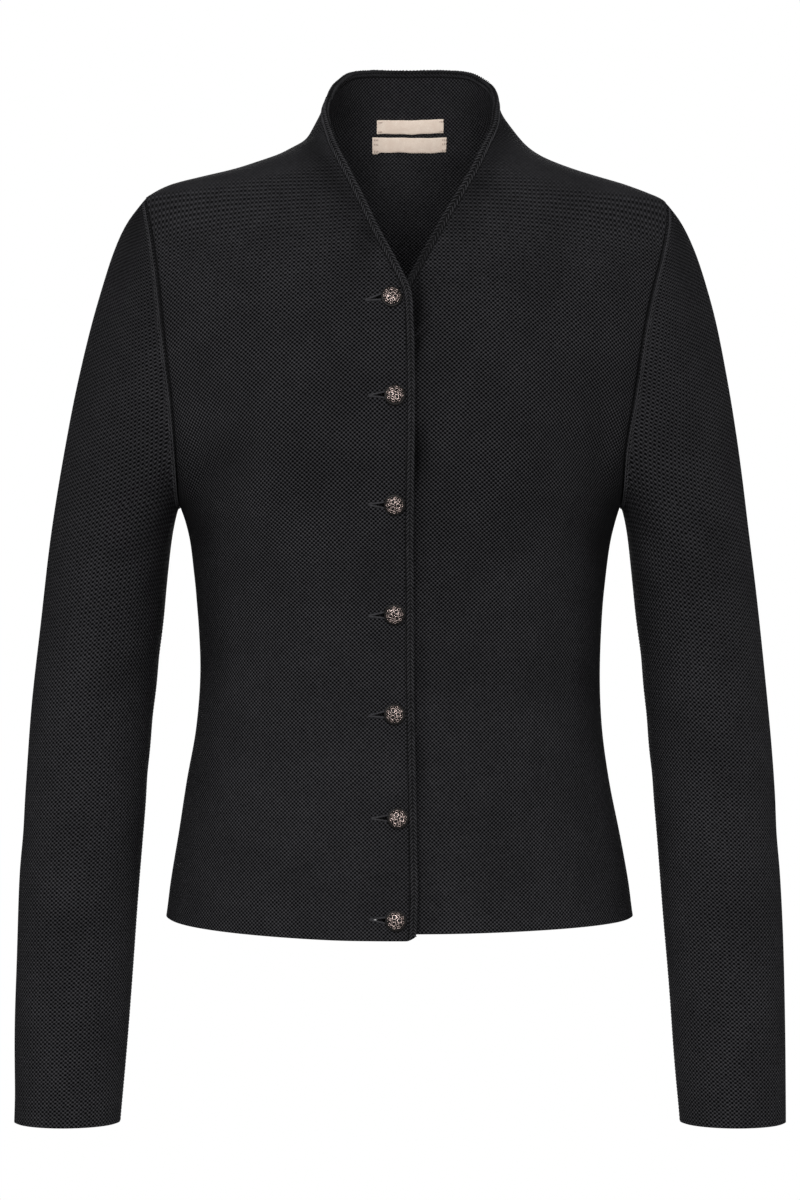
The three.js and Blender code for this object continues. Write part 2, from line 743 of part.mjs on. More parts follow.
// Band swept along stations of an edge; inward says on which hand the panel lies
function bandGeometry(edge, inward, panel) {
  const section = bandSection();
  const rings = edge.map((station, i) => {
    const spot = insetSpot(station, inward, BAND_WIDTH / 2);
    const centre = panelPoint(spot, panel, 0);
    const normal = bodyNormal(spot.turn, spot.z);
    const along = station.along.clone();
    const across = normal.clone().cross(along).normalize();
    const ring = section.map(([u, v]) => centre.clone()
      .addScaledVector(across, u).addScaledVector(normal, v));
    const joined = i === edge.length - 1 || (i === 0 && panel === 'back');
    if (joined) {
      const seam = panel === 'back' ? SEAM_GAP / 2 : -SEAM_GAP / 2;
      ring.forEach((point) => point.addScaledVector(along, (seam - point.y) / along.y));
    }
    return ring;
  });
  const count = section.length;
  const positions = [];
  rings.forEach((ring) => ring.forEach((p) => positions.push(p.x, p.y, p.z)));
  const index = [];
  for (let i = 0; i < rings.length - 1; i += 1) {
    for (let k = 0; k < count; k += 1) {
      const a = i * count + k;
      const b = i * count + ((k + 1) % count);
      index.push(a, b, b + count, a, b + count, a + count);
    }
  }
  const last = (rings.length - 1) * count;
  for (let k = 1; k < count - 1; k += 1) {
    index.push(0, k + 1, k);
    index.push(last, last + k, last + k + 1);
  }
  const geometry = new THREE.BufferGeometry();
  geometry.setAttribute('position', new THREE.Float32BufferAttribute(positions, 3));
  geometry.setIndex(index);
  geometry.computeVertexNormals();
  return geometry;
}

// Frame of a button on the overlapping front: place, outward axis and level axis
function buttonFrame(button) {
  const spot = { turn: turnAt(button.x, button.z), z: button.z };
  const out = bodyNormal(spot.turn, spot.z);
  const level = new THREE.Vector3(0, 0, 1).cross(out).normalize();
  const up = out.clone().cross(level);
  const place = panelPoint(spot, 'right', 0);
  const turn = new THREE.Matrix4().makeBasis(level, up, out);
  return { place, turn: new THREE.Quaternion().setFromRotationMatrix(turn) };
}

// Domed button with a shank, its axis along +Z and its foot on the under front
function buttonGeometry() {
  const foot = -FRONT_LIFT - FRONT_SINK + 0.45 - BUTTON_CLEAR;
  const outline = [
    [0, foot], [SHANK_RADIUS, foot], [SHANK_RADIUS, 0], [BUTTON_RADIUS - 0.7, 0],
    [BUTTON_RADIUS, 0.6], [BUTTON_RADIUS, 1.5], [BUTTON_RADIUS - 0.9, 1.9],
    [BUTTON_RADIUS - 1.4, 2.3], [4.4, 4.0], [2.4, 4.9], [0, BUTTON_HEIGHT],
  ];
  const profile = outline.map(([r, h]) => new THREE.Vector2(r, h));
  const lathe = new THREE.LatheGeometry(profile, 14);
  lathe.rotateX(QUARTER);
  return weld(lathe);
}

// Cutter of a buttonhole, a round-ended slot with its long way along X
function slotGeometry() {
  const half = SLOT_HEIGHT / 2;
  const shape = new THREE.Shape();
  shape.absarc(0, 0, half, -QUARTER, QUARTER, false);
  shape.absarc(-SLOT_REACH + half, 0, half, QUARTER, 3 * QUARTER, false);
  const settings = { depth: SLOT_DEPTH, bevelEnabled: false, curveSegments: 5 };
  const slot = new THREE.ExtrudeGeometry(shape, settings);
  slot.translate(0, 0, -SLOT_DEPTH / 2);
  return weld(slot);
}

// Label lying on the inner face of the back
function labelGeometry(label) {
  const outer = [];
  const inner = [];
  [label.bottom, label.top].forEach((z) => {
    const outerRow = [];
    const innerRow = [];
    for (let j = 0; j <= LABEL_COLUMNS; j += 1) {
      const x = label.x + label.width * (0.5 - j / LABEL_COLUMNS);
      const turn = turnAt(x, z, true);
      const spot = { turn: turn < 0 ? turn + 2 * Math.PI : turn, z };
      outerRow.push(panelPoint(spot, 'back', -WALL - SEAM_GAP));
      innerRow.push(panelPoint(spot, 'back', -WALL - SEAM_GAP - LABEL_WALL));
    }
    outer.push(outerRow);
    inner.push(innerRow);
  });
  return wallSolid(outer, inner);
}

// Geometry with shared corners and positions only
function weld(geometry) {
  geometry.deleteAttribute('normal');
  geometry.deleteAttribute('uv');
  return mergeVertices(geometry, 1e-4);
}

// A piece with others cut out of it
async function cutOut(geometry, cutters) {
  const wasm = await Module();
  wasm.setup();
  const solid = (piece) => new wasm.Manifold(new wasm.Mesh({
    numProp: 3,
    vertProperties: new Float32Array(piece.getAttribute('position').array),
    triVerts: new Uint32Array(piece.getIndex().array),
  }));
  let body = solid(weld(geometry));
  cutters.forEach((cutter) => {
    body = body.subtract(solid(cutter));
  });
  const mesh = body.getMesh();
  const cut = new THREE.BufferGeometry();
  cut.setAttribute('position', new THREE.Float32BufferAttribute(mesh.vertProperties, 3));
  cut.setIndex([...mesh.triVerts]);
  cut.computeVertexNormals();
  return cut;
}

const cardigan = new THREE.Group();

function addPiece(name, geometry, finish) {
  const mesh = new THREE.Mesh(geometry, new THREE.MeshStandardMaterial(finish));
  mesh.name = name;
  cardigan.add(mesh);
  return mesh;
}

const frames = BUTTONS.map(buttonFrame);
const slots = frames.map(({ place, turn }) => {
  const slot = slotGeometry();
  slot.applyQuaternion(turn);
  slot.translate(place.x, place.y, place.z);
  return slot;
});

addPiece('front_right', await cutOut(frontGeometry('right'), slots), CHARCOAL);
addPiece('front_left', frontGeometry('left'), CHARCOAL);
addPiece('back', backGeometry(), CHARCOAL);
addPiece('sleeve_right', sleeveGeometry('right'), CHARCOAL);
addPiece('sleeve_left', sleeveGeometry('left'), CHARCOAL);
addPiece('edge_band_right', bandGeometry(frontEdge('right'), 1, 'right'), BAND_BLACK);
addPiece('edge_band_left', bandGeometry(frontEdge('left'), -1, 'left'), BAND_BLACK);
addPiece('edge_band_neck', bandGeometry(collarEdge(), -1, 'back'), BAND_BLACK);
frames.forEach(({ place, turn }, i) => {
  const button = addPiece(`button_${i + 1}`, buttonGeometry(), ROSE_SILVER);
  button.quaternion.copy(turn);
  button.position.copy(place);
  const out = new THREE.Vector3(0, 0, BUTTON_CLEAR).applyQuaternion(turn);
  button.position.add(out);
});
LABELS.forEach((label) => addPiece(label.name, labelGeometry(label), CREAM));

export default cardigan;
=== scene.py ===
"""Trachten cardigan in fine charcoal moss knit.

The cloth follows the same tables as the solids, in millimetres, and is turned into metres
when a mesh is made. 'right' and 'left' are the wearer's: the right front lies on top.
"""
import math

import bpy
import numpy as np
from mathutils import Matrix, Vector


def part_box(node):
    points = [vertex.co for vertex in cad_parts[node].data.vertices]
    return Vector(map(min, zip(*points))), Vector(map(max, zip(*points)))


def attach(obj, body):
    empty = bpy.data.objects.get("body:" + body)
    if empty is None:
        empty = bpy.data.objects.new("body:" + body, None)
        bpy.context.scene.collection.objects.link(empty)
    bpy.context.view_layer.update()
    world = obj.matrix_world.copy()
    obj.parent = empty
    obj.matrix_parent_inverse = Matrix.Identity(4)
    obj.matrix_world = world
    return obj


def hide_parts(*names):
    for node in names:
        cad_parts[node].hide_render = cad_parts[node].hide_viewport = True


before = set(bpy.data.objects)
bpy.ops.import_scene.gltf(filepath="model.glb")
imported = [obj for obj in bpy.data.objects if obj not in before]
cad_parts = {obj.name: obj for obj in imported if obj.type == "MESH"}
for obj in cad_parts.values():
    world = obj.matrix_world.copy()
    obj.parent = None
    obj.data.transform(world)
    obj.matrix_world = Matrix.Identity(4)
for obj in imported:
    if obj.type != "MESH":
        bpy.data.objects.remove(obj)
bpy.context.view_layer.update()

MM = 0.001
PI = math.pi

# Driving sizes of cloth and seams, as in the solids
WALL = 2.4
SEAM_GAP = 0.36
BAND_WIDTH = 5.4
BAND_PROUD = 0.5
BAND_INSET = BAND_WIDTH + SEAM_GAP
BAND_DEPTH = 2.6
FRONT_LIFT = 2.2
FRONT_SINK = 1.8
ROUNDNESS = 2.2
UNDERARM = -245
SHOULDER_POINT = {"right": (175, -33), "left": (183, -36)}
ARMHOLE_HALF_DEPTH = 60
ARMHOLE_EGG = 1.25
UNDERARM_THICKENING = 0.9
SIGN = {"right": -1, "left": 1}


def table(names, rows):
    """Named columns of a table whose first column is its key."""
    return dict(zip(names.split(), np.array(rows, float).T))


# Half widths of the body and of the neck and shoulders, by height
BODY_SIDE = table("z right left", [
    (-560, 168, 168), (-529, 161.4, 160.8), (-503, 157.9, 157.2), (-469, 152.4, 151.0),
    (-434, 146.9, 144.1), (-400, 140.7, 139.4), (-366, 137.9, 137.9), (-331, 138.6, 138.6),
    (-297, 141.4, 141.4), (-271, 144.6, 145.0), (-256, 148.0, 148.4), (-245, 151.7, 151.7)])
NECK_SIDE = table("z right left", [
    (-45, 190, 196), (-36, 178.5, 183), (-33, 175, 178), (-25, 159.8, 156.8),
    (-19.8, 139.4, 138.8), (-15, 118.2, 123.0), (-9.3, 99.4, 107.4), (-4.4, 84.9, 97.0),
    (1.4, 74.2, 88.8), (7, 65.8, 83.6), (13.5, 61.0, 78.6), (25, 54.7, 70.4),
    (36, 50.2, 67.3), (50, 48.2, 66.4), (70, 47.0, 66.5)])
ARMHOLE_LINE = {
    "right": table("z x", [(-245, 151.7), (-220, 151.8), (-179, 154.4), (-140, 159.0),
                           (-91, 164.6), (-60, 169.5), (-33, 175.0)]),
    "left": table("z x", [(-245, 151.7), (-209, 152.8), (-174, 158.5), (-126, 166.0),
                          (-104, 170.7), (-73, 178.6), (-52, 182.6), (-36, 183.0)])}
# Depths before and behind the side seams
DEPTH = table("z front back", [
    (-560, 108, 104), (-529, 105, 102), (-450, 99, 98), (-400, 94, 88), (-355, 92, 79),
    (-300, 99, 82), (-245, 108, 90), (-205, 111, 96), (-150, 104, 100), (-90, 91, 97),
    (-45, 78, 88), (-14, 69, 77), (8, 63, 69), (36, 57, 63), (70, 52, 59)])
BUST = {"x": 78, "z": -212, "across": 46, "up": 52, "rise": 9}

# Folds: face, first end, last end, width and depth. The first eleven are in the solids
# too, and the rest are softer creases.
FOLDS = [
    ("front", -150, -236, -88, -200, 16, 4.5), ("front", -146, -268, -98, -254, 15, 3.5),
    ("front", 150, -230, 94, -190, 16, 4.0), ("front", 147, -272, 108, -262, 15, 3.0),
    ("front", -134, -352, -82, -340, 18, 2.5), ("front", 132, -368, 76, -374, 18, 2.2),
    ("back", -148, -234, -74, -206, 17, 4.5), ("back", 150, -240, 84, -216, 16, 4.0),
    ("back", -124, -352, 20, -340, 17, 4.0), ("back", 128, -366, -34, -378, 19, 4.5),
    ("back", -118, -398, -20, -410, 18, 3.0),
]
CREASES = [
    ("front", -66, 6, -12, -78, 9, 3.2), ("front", -20, -66, -34, -100, 10, 1.6),
    ("front", 82, 24, 48, -40, 9, 3.4), ("front", 52, -32, 26, -84, 10, 1.8),
    ("front", -148, -214, -112, -170, 10, 2.0), ("front", 150, -208, 118, -160, 10, 1.8),
    ("front", -140, -300, -104, -296, 9, 1.6), ("front", 140, -310, 96, -318, 10, 1.5),
    ("front", -152, -470, -118, -420, 14, 1.4), ("front", 150, -452, 110, -410, 14, 1.4),
    ("front", -150, -80, -96, -62, 14, 1.6), ("front", 160, -84, 104, -60, 14, 1.6),
    ("back", -150, -262, -92, -250, 11, 2.2), ("back", 148, -268, 70, -262, 12, 2.4),
    ("back", -120, -322, -30, -316, 11, 2.0), ("back", 118, -332, 20, -322, 12, 1.8),
    ("back", 96, -404, -10, -430, 13, 2.2), ("back", -60, -372, 44, -392, 11, 1.6),
    ("back", -150, -150, -90, -110, 15, 1.8), ("back", 158, -152, 96, -116, 15, 1.8),
    ("back", -34, 4, -70, -30, 12, 1.8), ("back", 40, 2, 78, -34, 12, 1.8),
]

# The fronts' edges as x and z seen from the front, from the hem up to the shoulder seam
CENTRE_EDGE = {
    "right": [(11.0, -536.4), (12.0, -510), (11.2, -455), (10.0, -385), (9.5, -320), (9.4, -250),
              (10.4, -174), (9.2, -125), (8.1, -107), (6.2, -99.4)],
    "left": [(-16, -531.6), (-16, -400), (-16, -270), (-16, -134.7)]}
V_EDGE = {
    "right": [(6.2, -99.4), (-3.4, -80.4), (-14.2, -59.8), (-24.9, -36.8), (-36.3, -13.9),
              (-49.1, 17.9)],
    "left": [(-16, -134.7), (-3, -108.6), (10.8, -82.5), (18.7, -68.7), (30.9, -47.7),
             (41.8, -29.8), (53.4, -8.6), (66.3, 23.9)]}
# Top of the collar: degrees round from the centre front, and height
COLLAR_TOP = [(90, 38), (103, 46.2), (117, 53.0), (133, 59.6), (156, 62.9), (180, 63.3)]
HEM_SIDE = {"right": -526.5, "left": -526.6}
HEM_BACK = -530

# Outer and inner outline of a sleeve seen from the front
SLEEVE_OUTER = table("z x", [
    (-675, 262.6), (-641, 263.2), (-590, 262.8), (-538, 261.6), (-486, 259.6),
    (-434, 256.4), (-383, 252.9), (-331, 248.3), (-279, 242.3), (-245, 237.6),
    (-210, 232.0), (-176, 225.4), (-141, 218.3), (-107, 209.8), (-72, 198.8),
    (-52, 189.6), (-43, 184.2), (-30, 174.0)])
SLEEVE_INNER = table("z x", [
    (-675, 191.4), (-641, 188.6), (-590, 184.6), (-538, 181.2), (-486, 177.4),
    (-434, 173.4), (-383, 168.9), (-331, 163.7), (-297, 160.4), (-270, 157.4),
    (-255, 155.0), (-245, 152.6)])
# Heights of the outer and inner silhouette points, half depth, how far forward, egg
SLEEVE_RINGS = [
    (-50, -248.5, 60.5, 0, 1.22), (-68, -252.5, 60.5, 0, 1.19), (-92, -258, 60.0, 0, 1.15),
    (-122, -265, 59.0, 0, 1.1), (-156, -275, 57.0, 0, 1.05), (-192, -288, 54.5, 0, 1),
    (-230, -306, 52.0, 0.5, 1), (-270, -328, 50.0, 1.5, 1), (-312, -354, 48.0, 3, 1),
    (-356, -386, 46.5, 6, 1), (-402, -424, 45.0, 10, 1), (-450, -466, 43.0, 15, 1),
    (-500, -511, 41.0, 20, 1), (-552, -559, 39.0, 25, 1), (-606, -610, 37.5, 30, 1),
    (-665, -665, 36.5, 34, 1)]
CAP_EXTRA = {"right": -0.6, "left": 5.2}
# Length of a degree round the sleeve
DEGREE = 0.8
# Sleeve creases: angle round the sleeve (0 outside, 90 front) and height at both ends,
# width and depth
SLEEVE_CREASES = [
    (150, -262, 96, -300, 11, 2.2), (158, -300, 110, -336, 12, 2.0),
    (172, -352, 92, -372, 12, 2.4), (168, -392, 84, -398, 12, 2.0),
    (176, -430, 112, -424, 12, 1.8), (-150, -268, -92, -300, 12, 2.4),
    (-164, -340, -84, -352, 13, 2.4), (-158, -386, -60, -392, 13, 2.2),
    (-140, -436, -40, -426, 14, 1.8), (40, -96, 84, -132, 16, 1.6),
    (20, -470, 84, -486, 16, 1.1), (-30, -90, -84, -130, 16, 1.8)]

# Buttons: x and z of their middles, from the neck down
BUTTONS = [(-5.5, -108.2), (-3.4, -174.2), (-3.6, -246.9), (-3.6, -319.6),
           (-3.6, -386.2), (-1.3, -455.2), (-2.8, -522.8)]
BUTTON_RADIUS = 7.2
BUTTON_CLEAR = 0.55
# Buttonholes: both ends from the button's middle, half height when held open, slopes
SLIT_FROM, SLIT_TO = -16.4, -5.0
SLIT_OPEN = 1.9
SLIT_SLOPES = [0.22, 0.05, -0.04, 0.06, 0.10, 0.02, -0.05]
# Labels: x of the middle, width, height of the top and of the bottom
LABELS = {"label_upper": (7.3, 48.6, 28.5, 19.3), "label_lower": (6.8, 54.4, 16.5, 6.6)}
LABEL_WALL = 0.9

# Rows of a panel: shares at which the armhole starts and ends and the V starts
AT_UNDERARM, AT_SHOULDER, AT_VEE = 12 / 27, 22 / 27, 19 / 27
ROW_COUNT = 27 * 7
PANEL_ROWS = np.sort(np.concatenate([np.arange(ROW_COUNT + 1) / ROW_COUNT,
                                     [0.0009, 0.002, 0.0034]]))


# Small maths

def smoothstep(x, low, high):
    t = np.clip((x - low) / (high - low), 0, 1)
    return t * t * (3 - 2 * t)


def unit(v):
    return v / np.maximum(np.linalg.norm(v, axis=-1, keepdims=True), 1e-12)


def lerp(a, b, share):
    return a + (b - a) * share


def run_along(points):
    """Length run along a line of points, from 0 at its start."""
    return np.concatenate([[0], np.cumsum(np.linalg.norm(np.diff(points, axis=0), axis=1))])


def trough(u, v, ends, width, deep):
    """Depth of a soft trough at u, v, deepest at the first of its two ends."""
    u0, v0, u1, v1 = ends
    run_u, run_v = u1 - u0, v1 - v0
    share = ((u - u0) * run_u + (v - v0) * run_v) / (run_u ** 2 + run_v ** 2)
    share = np.clip(share, 0, 1)
    away = np.hypot(u - u0 - share * run_u, v - v0 - share * run_v)
    return deep * (1 - share ** 2) * np.exp(-(away / width) ** 2)


def lookup(columns, name, at):
    """Smooth values of one column at keys `at`."""
    keys, values = next(iter(columns.values())), columns[name]
    last = len(keys) - 1
    k = np.arange(last + 1)
    after, before = np.minimum(k + 1, last), np.maximum(k - 1, 0)
    slopes = (values[after] - values[before]) / (keys[after] - keys[before])
    at = np.asarray(at, float)
    i = np.searchsorted(keys[1:last], at, side="left")
    span, rise = keys[i + 1] - keys[i], values[i + 1] - values[i]
    t = np.clip((at - keys[i]) / span, 0, 1)
    bend = (slopes[i] * span - rise) * (1 - t) + (rise - slopes[i + 1] * span) * t
    return values[i] + rise * t + t * (1 - t) * bend


def bilinear(grid, row, column):
    """Values of a grid at fractional rows and columns."""
    row = np.clip(row, 0, grid.shape[0] - 1.001)
    column = np.clip(column, 0, grid.shape[1] - 1.001)
    i, j = row.astype(int), column.astype(int)
    a, b = row - i, column - j
    low = grid[i, j] * (1 - b) + grid[i, j + 1] * b
    return low * (1 - a) + (grid[i + 1, j] * (1 - b) + grid[i + 1, j + 1] * b) * a


# The body's surface

def armhole_height(side, turn):
    share = ((1 - np.cos(turn)) / 2) ** ARMHOLE_EGG
    return UNDERARM + (SHOULDER_POINT[side][1] - UNDERARM) * share


def armhole_half_depth(side, z):
    share = np.clip((z - UNDERARM) / (SHOULDER_POINT[side][1] - UNDERARM), 0, 1)
    along = 2 * share ** (1 / ARMHOLE_EGG) - 1
    return ARMHOLE_HALF_DEPTH * np.sqrt(np.maximum(1 - along * along, 0))


def ring_half_width(side, z, depth):
    share = (armhole_half_depth(side, z) / depth) ** ROUNDNESS
    between = lookup(ARMHOLE_LINE[side], "x", z) / (1 - share) ** (1 / ROUNDNESS)
    high = np.where(z >= SHOULDER_POINT[side][1], lookup(NECK_SIDE, side, z), between)
    return np.where(z <= UNDERARM, lookup(BODY_SIDE, side, z), high)


def depth_at(front, z):
    return np.where(front, lookup(DEPTH, "front", z), lookup(DEPTH, "back", z))


def half_width(right, z, depth):
    return np.where(right, ring_half_width("right", z, depth),
                    ring_half_width("left", z, depth))


def bust_rise(x, z):
    up = np.exp(-((z - BUST["z"]) / BUST["up"]) ** 2)
    across = sum(np.exp(-((x - s * BUST["x"]) / BUST["across"]) ** 2) for s in (-1, 1))
    return BUST["rise"] * up * across


def fold_depth(face, folds, x, z):
    return sum((trough(x, z, f[1:5], *f[5:]) for f in folds if f[0] == face), np.zeros_like(x))


rng = np.random.default_rng(11)
WAVES = [(rng.uniform(0.02, 0.075), rng.uniform(0, 2 * PI), rng.uniform(0, 2 * PI))
         for _ in range(9)]


def unevenness(a, b):
    """Gentle waviness of real cloth, about -1 to 1."""
    total = sum(np.sin(k * (math.cos(d) * a + math.sin(d) * b) + p) for k, d, p in WAVES)
    return total / 4.5


def painted_shade(turn, z, panel):
    """Painted shade: share of the light left in the colour where the cloth is drawn in or turned
    under.
    """
    x = body_point(turn, z, folded=False)[..., 0]
    face = "back" if panel == "back" else "front"
    # Painted shade in the main folds
    deep = fold_depth(face, FOLDS[:6], x, z) * 0.030
    # Painted shade towards the body's sides from hip to chest, and a little more above the waist and
    # at the shoulders
    side = smoothstep(np.abs(np.sin(turn)), 0.80, 0.99)
    deep = deep + 0.36 * side * smoothstep(z, -470, -300) * (1 - smoothstep(z, -150, -60))
    deep = deep + 0.10 * smoothstep(z, -290, -210) + 0.08 * smoothstep(z, -90, -40)
    # Painted shade along the troughs beside the V
    if face == "front":
        deep = deep + fold_depth("front", CREASES[:4], x, z) * 0.12
    # Painted shadow of the right front's edge on the left front
    if panel == "left":
        deep = deep + 0.34 * gape(z) * np.exp(-((x - 12.5) / 3.8) ** 2)
        deep = deep + 0.14 * np.exp(-((x - 12.0) / 3.2) ** 2) * smoothstep(z, -90, -110)
        deep = deep + 0.22 * np.exp(-((x - 11.0) / 5.0) ** 2 - ((z + 96) / 14.0) ** 2)
    return 1 - np.minimum(deep, 0.74)


def body_point(turn, z, folded=True):
    """Point of the body's surface: turn 0 at centre front, +90 degrees at the left."""
    turn, z = np.broadcast_arrays(np.asarray(turn, float), np.asarray(z, float))
    across, ahead = np.sin(turn), np.cos(turn)
    depth = depth_at(ahead >= 0, z)
    width = half_width(across < 0, z, depth)
    power = 2 / ROUNDNESS
    x = np.sign(across) * width * np.abs(across) ** power
    y = -np.sign(ahead) * depth * np.abs(ahead) ** power
    clear = np.minimum(1, 3 * np.abs(ahead))
    rise = np.where(ahead > 0, bust_rise(x, z), 0) * clear
    if not folded:
        return np.stack([x, y - rise, z], -1)
    sink = np.where(ahead > 0, fold_depth("front", FOLDS + CREASES, x, z),
                    fold_depth("back", FOLDS + CREASES, x, z))
    line = np.where(across < 0, lookup(ARMHOLE_LINE["right"], "x", z),
                    lookup(ARMHOLE_LINE["left"], "x", z))
    calm = (1 - smoothstep(line - np.abs(x), 1, 16)) * smoothstep(z, -262, -242)
    sink = (sink + 0.55 * unevenness(x + 400 * (ahead < 0), z)) * clear * (1 - calm)
    shrink = 1 - sink / np.hypot(x, y)
    return np.stack([x * shrink, (y - rise) * shrink, z], -1)


def body_normal(turn, z, folded=True):
    along = body_point(turn + 0.01, z, folded) - body_point(turn - 0.01, z, folded)
    up = body_point(turn, z + 1.5, folded) - body_point(turn, z - 1.5, folded)
    return unit(np.cross(along, up))


def turn_at(x, z, back=False):
    x, z = np.asarray(x, float), np.asarray(z, float)
    depth = lookup(DEPTH, "back" if back else "front", z)
    share = np.minimum(np.abs(x) / half_width(x < 0, z, depth), 1)
    turn = np.arcsin(share ** (ROUNDNESS / 2))
    return np.sign(x) * (PI - turn if back else turn)


def turn_of(p):
    depth = depth_at(p[..., 1] < 0, p[..., 2])
    across = np.abs(p[..., 0]) / half_width(p[..., 0] < 0, p[..., 2], depth)
    turn = np.arctan2(across ** (ROUNDNESS / 2),
                      (np.abs(p[..., 1]) / depth) ** (ROUNDNESS / 2))
    return np.sign(p[..., 0]) * np.where(p[..., 1] < 0, turn, PI - turn)


# Where the closure gapes a little: height, reach up and down, how far
GAPES = [(-124, 26, 2.2), (-212, 20, 1.9), (-290, 24, 0.5), (-352, 20, 0.5), (-420, 26, 0.7)]


def gape(z):
    return sum(far * np.exp(-((z - at) / reach) ** 2) for at, reach, far in GAPES)


def closure_lift(panel, x, z):
    """How far a front stands off the body's surface beside the closure."""
    if panel == "right":
        return FRONT_LIFT * smoothstep(x, -58, -24) + gape(z) * smoothstep(x, -4, 9)
    if panel == "left":
        hollow = 1.2 + 1.5 * gape(z)
        return (-FRONT_SINK * (1 - smoothstep(x, 16, 50))
                - 1.6 * (1 - smoothstep(x, 14, 34)) * np.exp(-((z + 92) / 24) ** 2)
                - hollow * np.exp(-((x - 12) / 6) ** 2) * smoothstep(z, -70, -104))
    return np.zeros_like(x)


def panel_point(turn, z, panel, out):
    p = body_point(turn, z)
    lift = closure_lift(panel, p[..., 0], p[..., 2]) + out
    return p + body_normal(turn, z) * lift[..., None]


def armhole_point(side, face, turn, inward, gap):
    def at(t):
        height = armhole_height(side, t)
        return -face * armhole_half_depth(side, height), height
    y, z = at(turn)
    y0, z0 = at(np.maximum(turn - 0.02, 0))
    y1, z1 = at(np.minimum(turn + 0.02, PI))
    length = np.hypot(y1 - y0, z1 - z0)
    normal_y, normal_z = -face * (z1 - z0) / length, face * (y1 - y0) / length
    normal_y = np.where((turn <= 0.02) | (turn >= PI - 0.02), 0, normal_y)
    normal_z = np.where(turn <= 0.02, -1, np.where(turn >= PI - 0.02, 1, normal_z))
    reach = inward * (1 + UNDERARM_THICKENING * np.maximum(np.cos(turn), 0) ** 4)
    y, z = y - normal_y * reach, z - normal_z * reach
    height = np.clip(z, UNDERARM, SHOULDER_POINT[side][1])
    x = lookup(ARMHOLE_LINE[side], "x", height) + gap
    return np.stack([SIGN[side] * x, y, z], -1)


# Edges

def catmull(points, t):
    """Centripetal Catmull-Rom curve through points, t from 0 to 1."""
    p = np.asarray(points, float)
    p = np.vstack([2 * p[0] - p[1], p, 2 * p[-1] - p[-2]])
    last = len(p) - 3
    at = np.clip(np.asarray(t, float) * last, 0, last)
    i = np.minimum(at.astype(int), last - 1)
    w = (at - i)[:, None]
    p0, p1, p2, p3 = p[i], p[i + 1], p[i + 2], p[i + 3]
    d0, d1, d2 = (np.sqrt(np.linalg.norm(b - a, axis=1))[:, None]
                  for a, b in ((p0, p1), (p1, p2), (p2, p3)))
    m1 = ((p1 - p0) / d0 - (p2 - p0) / (d0 + d1) + (p2 - p1) / d1) * d1
    m2 = ((p2 - p1) / d1 - (p3 - p1) / (d1 + d2) + (p3 - p2) / d2) * d1
    return (p1 + m1 * w + (-3 * p1 + 3 * p2 - 2 * m1 - m2) * w ** 2
            + (2 * p1 - 2 * p2 + m1 + m2) * w ** 3)


def edge_points(pairs):
    x, z = np.array(pairs, float).T
    return body_point(turn_at(x, z), z, folded=False)


def neckline(side):
    vee = edge_points(V_EDGE[side])
    turns, heights = np.array(COLLAR_TOP, float).T
    top = body_point(SIGN[side] * np.radians(turns), heights, folded=False)
    return np.vstack([vee, top]), len(vee) / (len(vee) + len(top) - 1)


def stations(points, start, end, shares):
    """Stations at shares of the length of a stretch of a curve: turn, height, direction."""
    t = np.linspace(start, end, 721)
    line = catmull(points, t)
    run = run_along(line)
    goal = np.asarray(shares) * run[-1]
    here = np.stack([np.interp(goal, run, line[:, k]) for k in range(3)], -1)
    step = run[-1] / 240
    ends = [np.stack([np.interp(np.clip(goal + s, 0, run[-1]), run, line[:, k])
                      for k in range(3)], -1) for s in (-step, step)]
    return {"turn": turn_of(here), "z": here[:, 2], "along": unit(ends[1] - ends[0]),
            "length": run[-1]}


def joined(parts):
    return {k: np.concatenate([p[k] for p in parts]) for k in ("turn", "z", "along")}


def front_edge(side, shares):
    """Stations of a front's edge at shares of its rows, from hem to shoulder seam."""
    shares = np.asarray(shares)
    points, stop = neckline(side)
    low = shares <= AT_VEE
    centre = stations(edge_points(CENTRE_EDGE[side]), 0, 1, shares[low] / AT_VEE)
    vee = stations(points, 0, stop, (shares[~low] - AT_VEE) / (1 - AT_VEE))
    return joined([centre, vee])


def collar_edge(shares):
    """Stations of the collar's top from the wearer's left round the back to the right."""
    shares = np.asarray(shares)
    low = shares <= 0.5
    points, stop = neckline("left")
    left = stations(points, stop, 1, shares[low] * 2)
    points, stop = neckline("right")
    right = stations(points, stop, 1, (1 - shares[~low]) * 2)
    right["turn"] = right["turn"] + 2 * PI
    right["along"] = -right["along"]
    left["turn"] = np.where(left["turn"] < 0, left["turn"] + 2 * PI, left["turn"])
    return joined([left, right])


def inset_spot(edge, inward, inset):
    p = body_point(edge["turn"], edge["z"], folded=False)
    normal = body_normal(edge["turn"], edge["z"])
    across = unit(np.cross(normal, edge["along"]) * inward)
    p = p + across * inset
    turn = turn_of(p)
    return np.where((edge["turn"] > PI) & (turn < 0), turn + 2 * PI, turn), p[:, 2]


def collar_panel_top(side):
    edge = front_edge(side, np.array([0.0, 1.0]))
    return edge["z"][-1] - BAND_INSET / abs(edge["along"][-1][1])


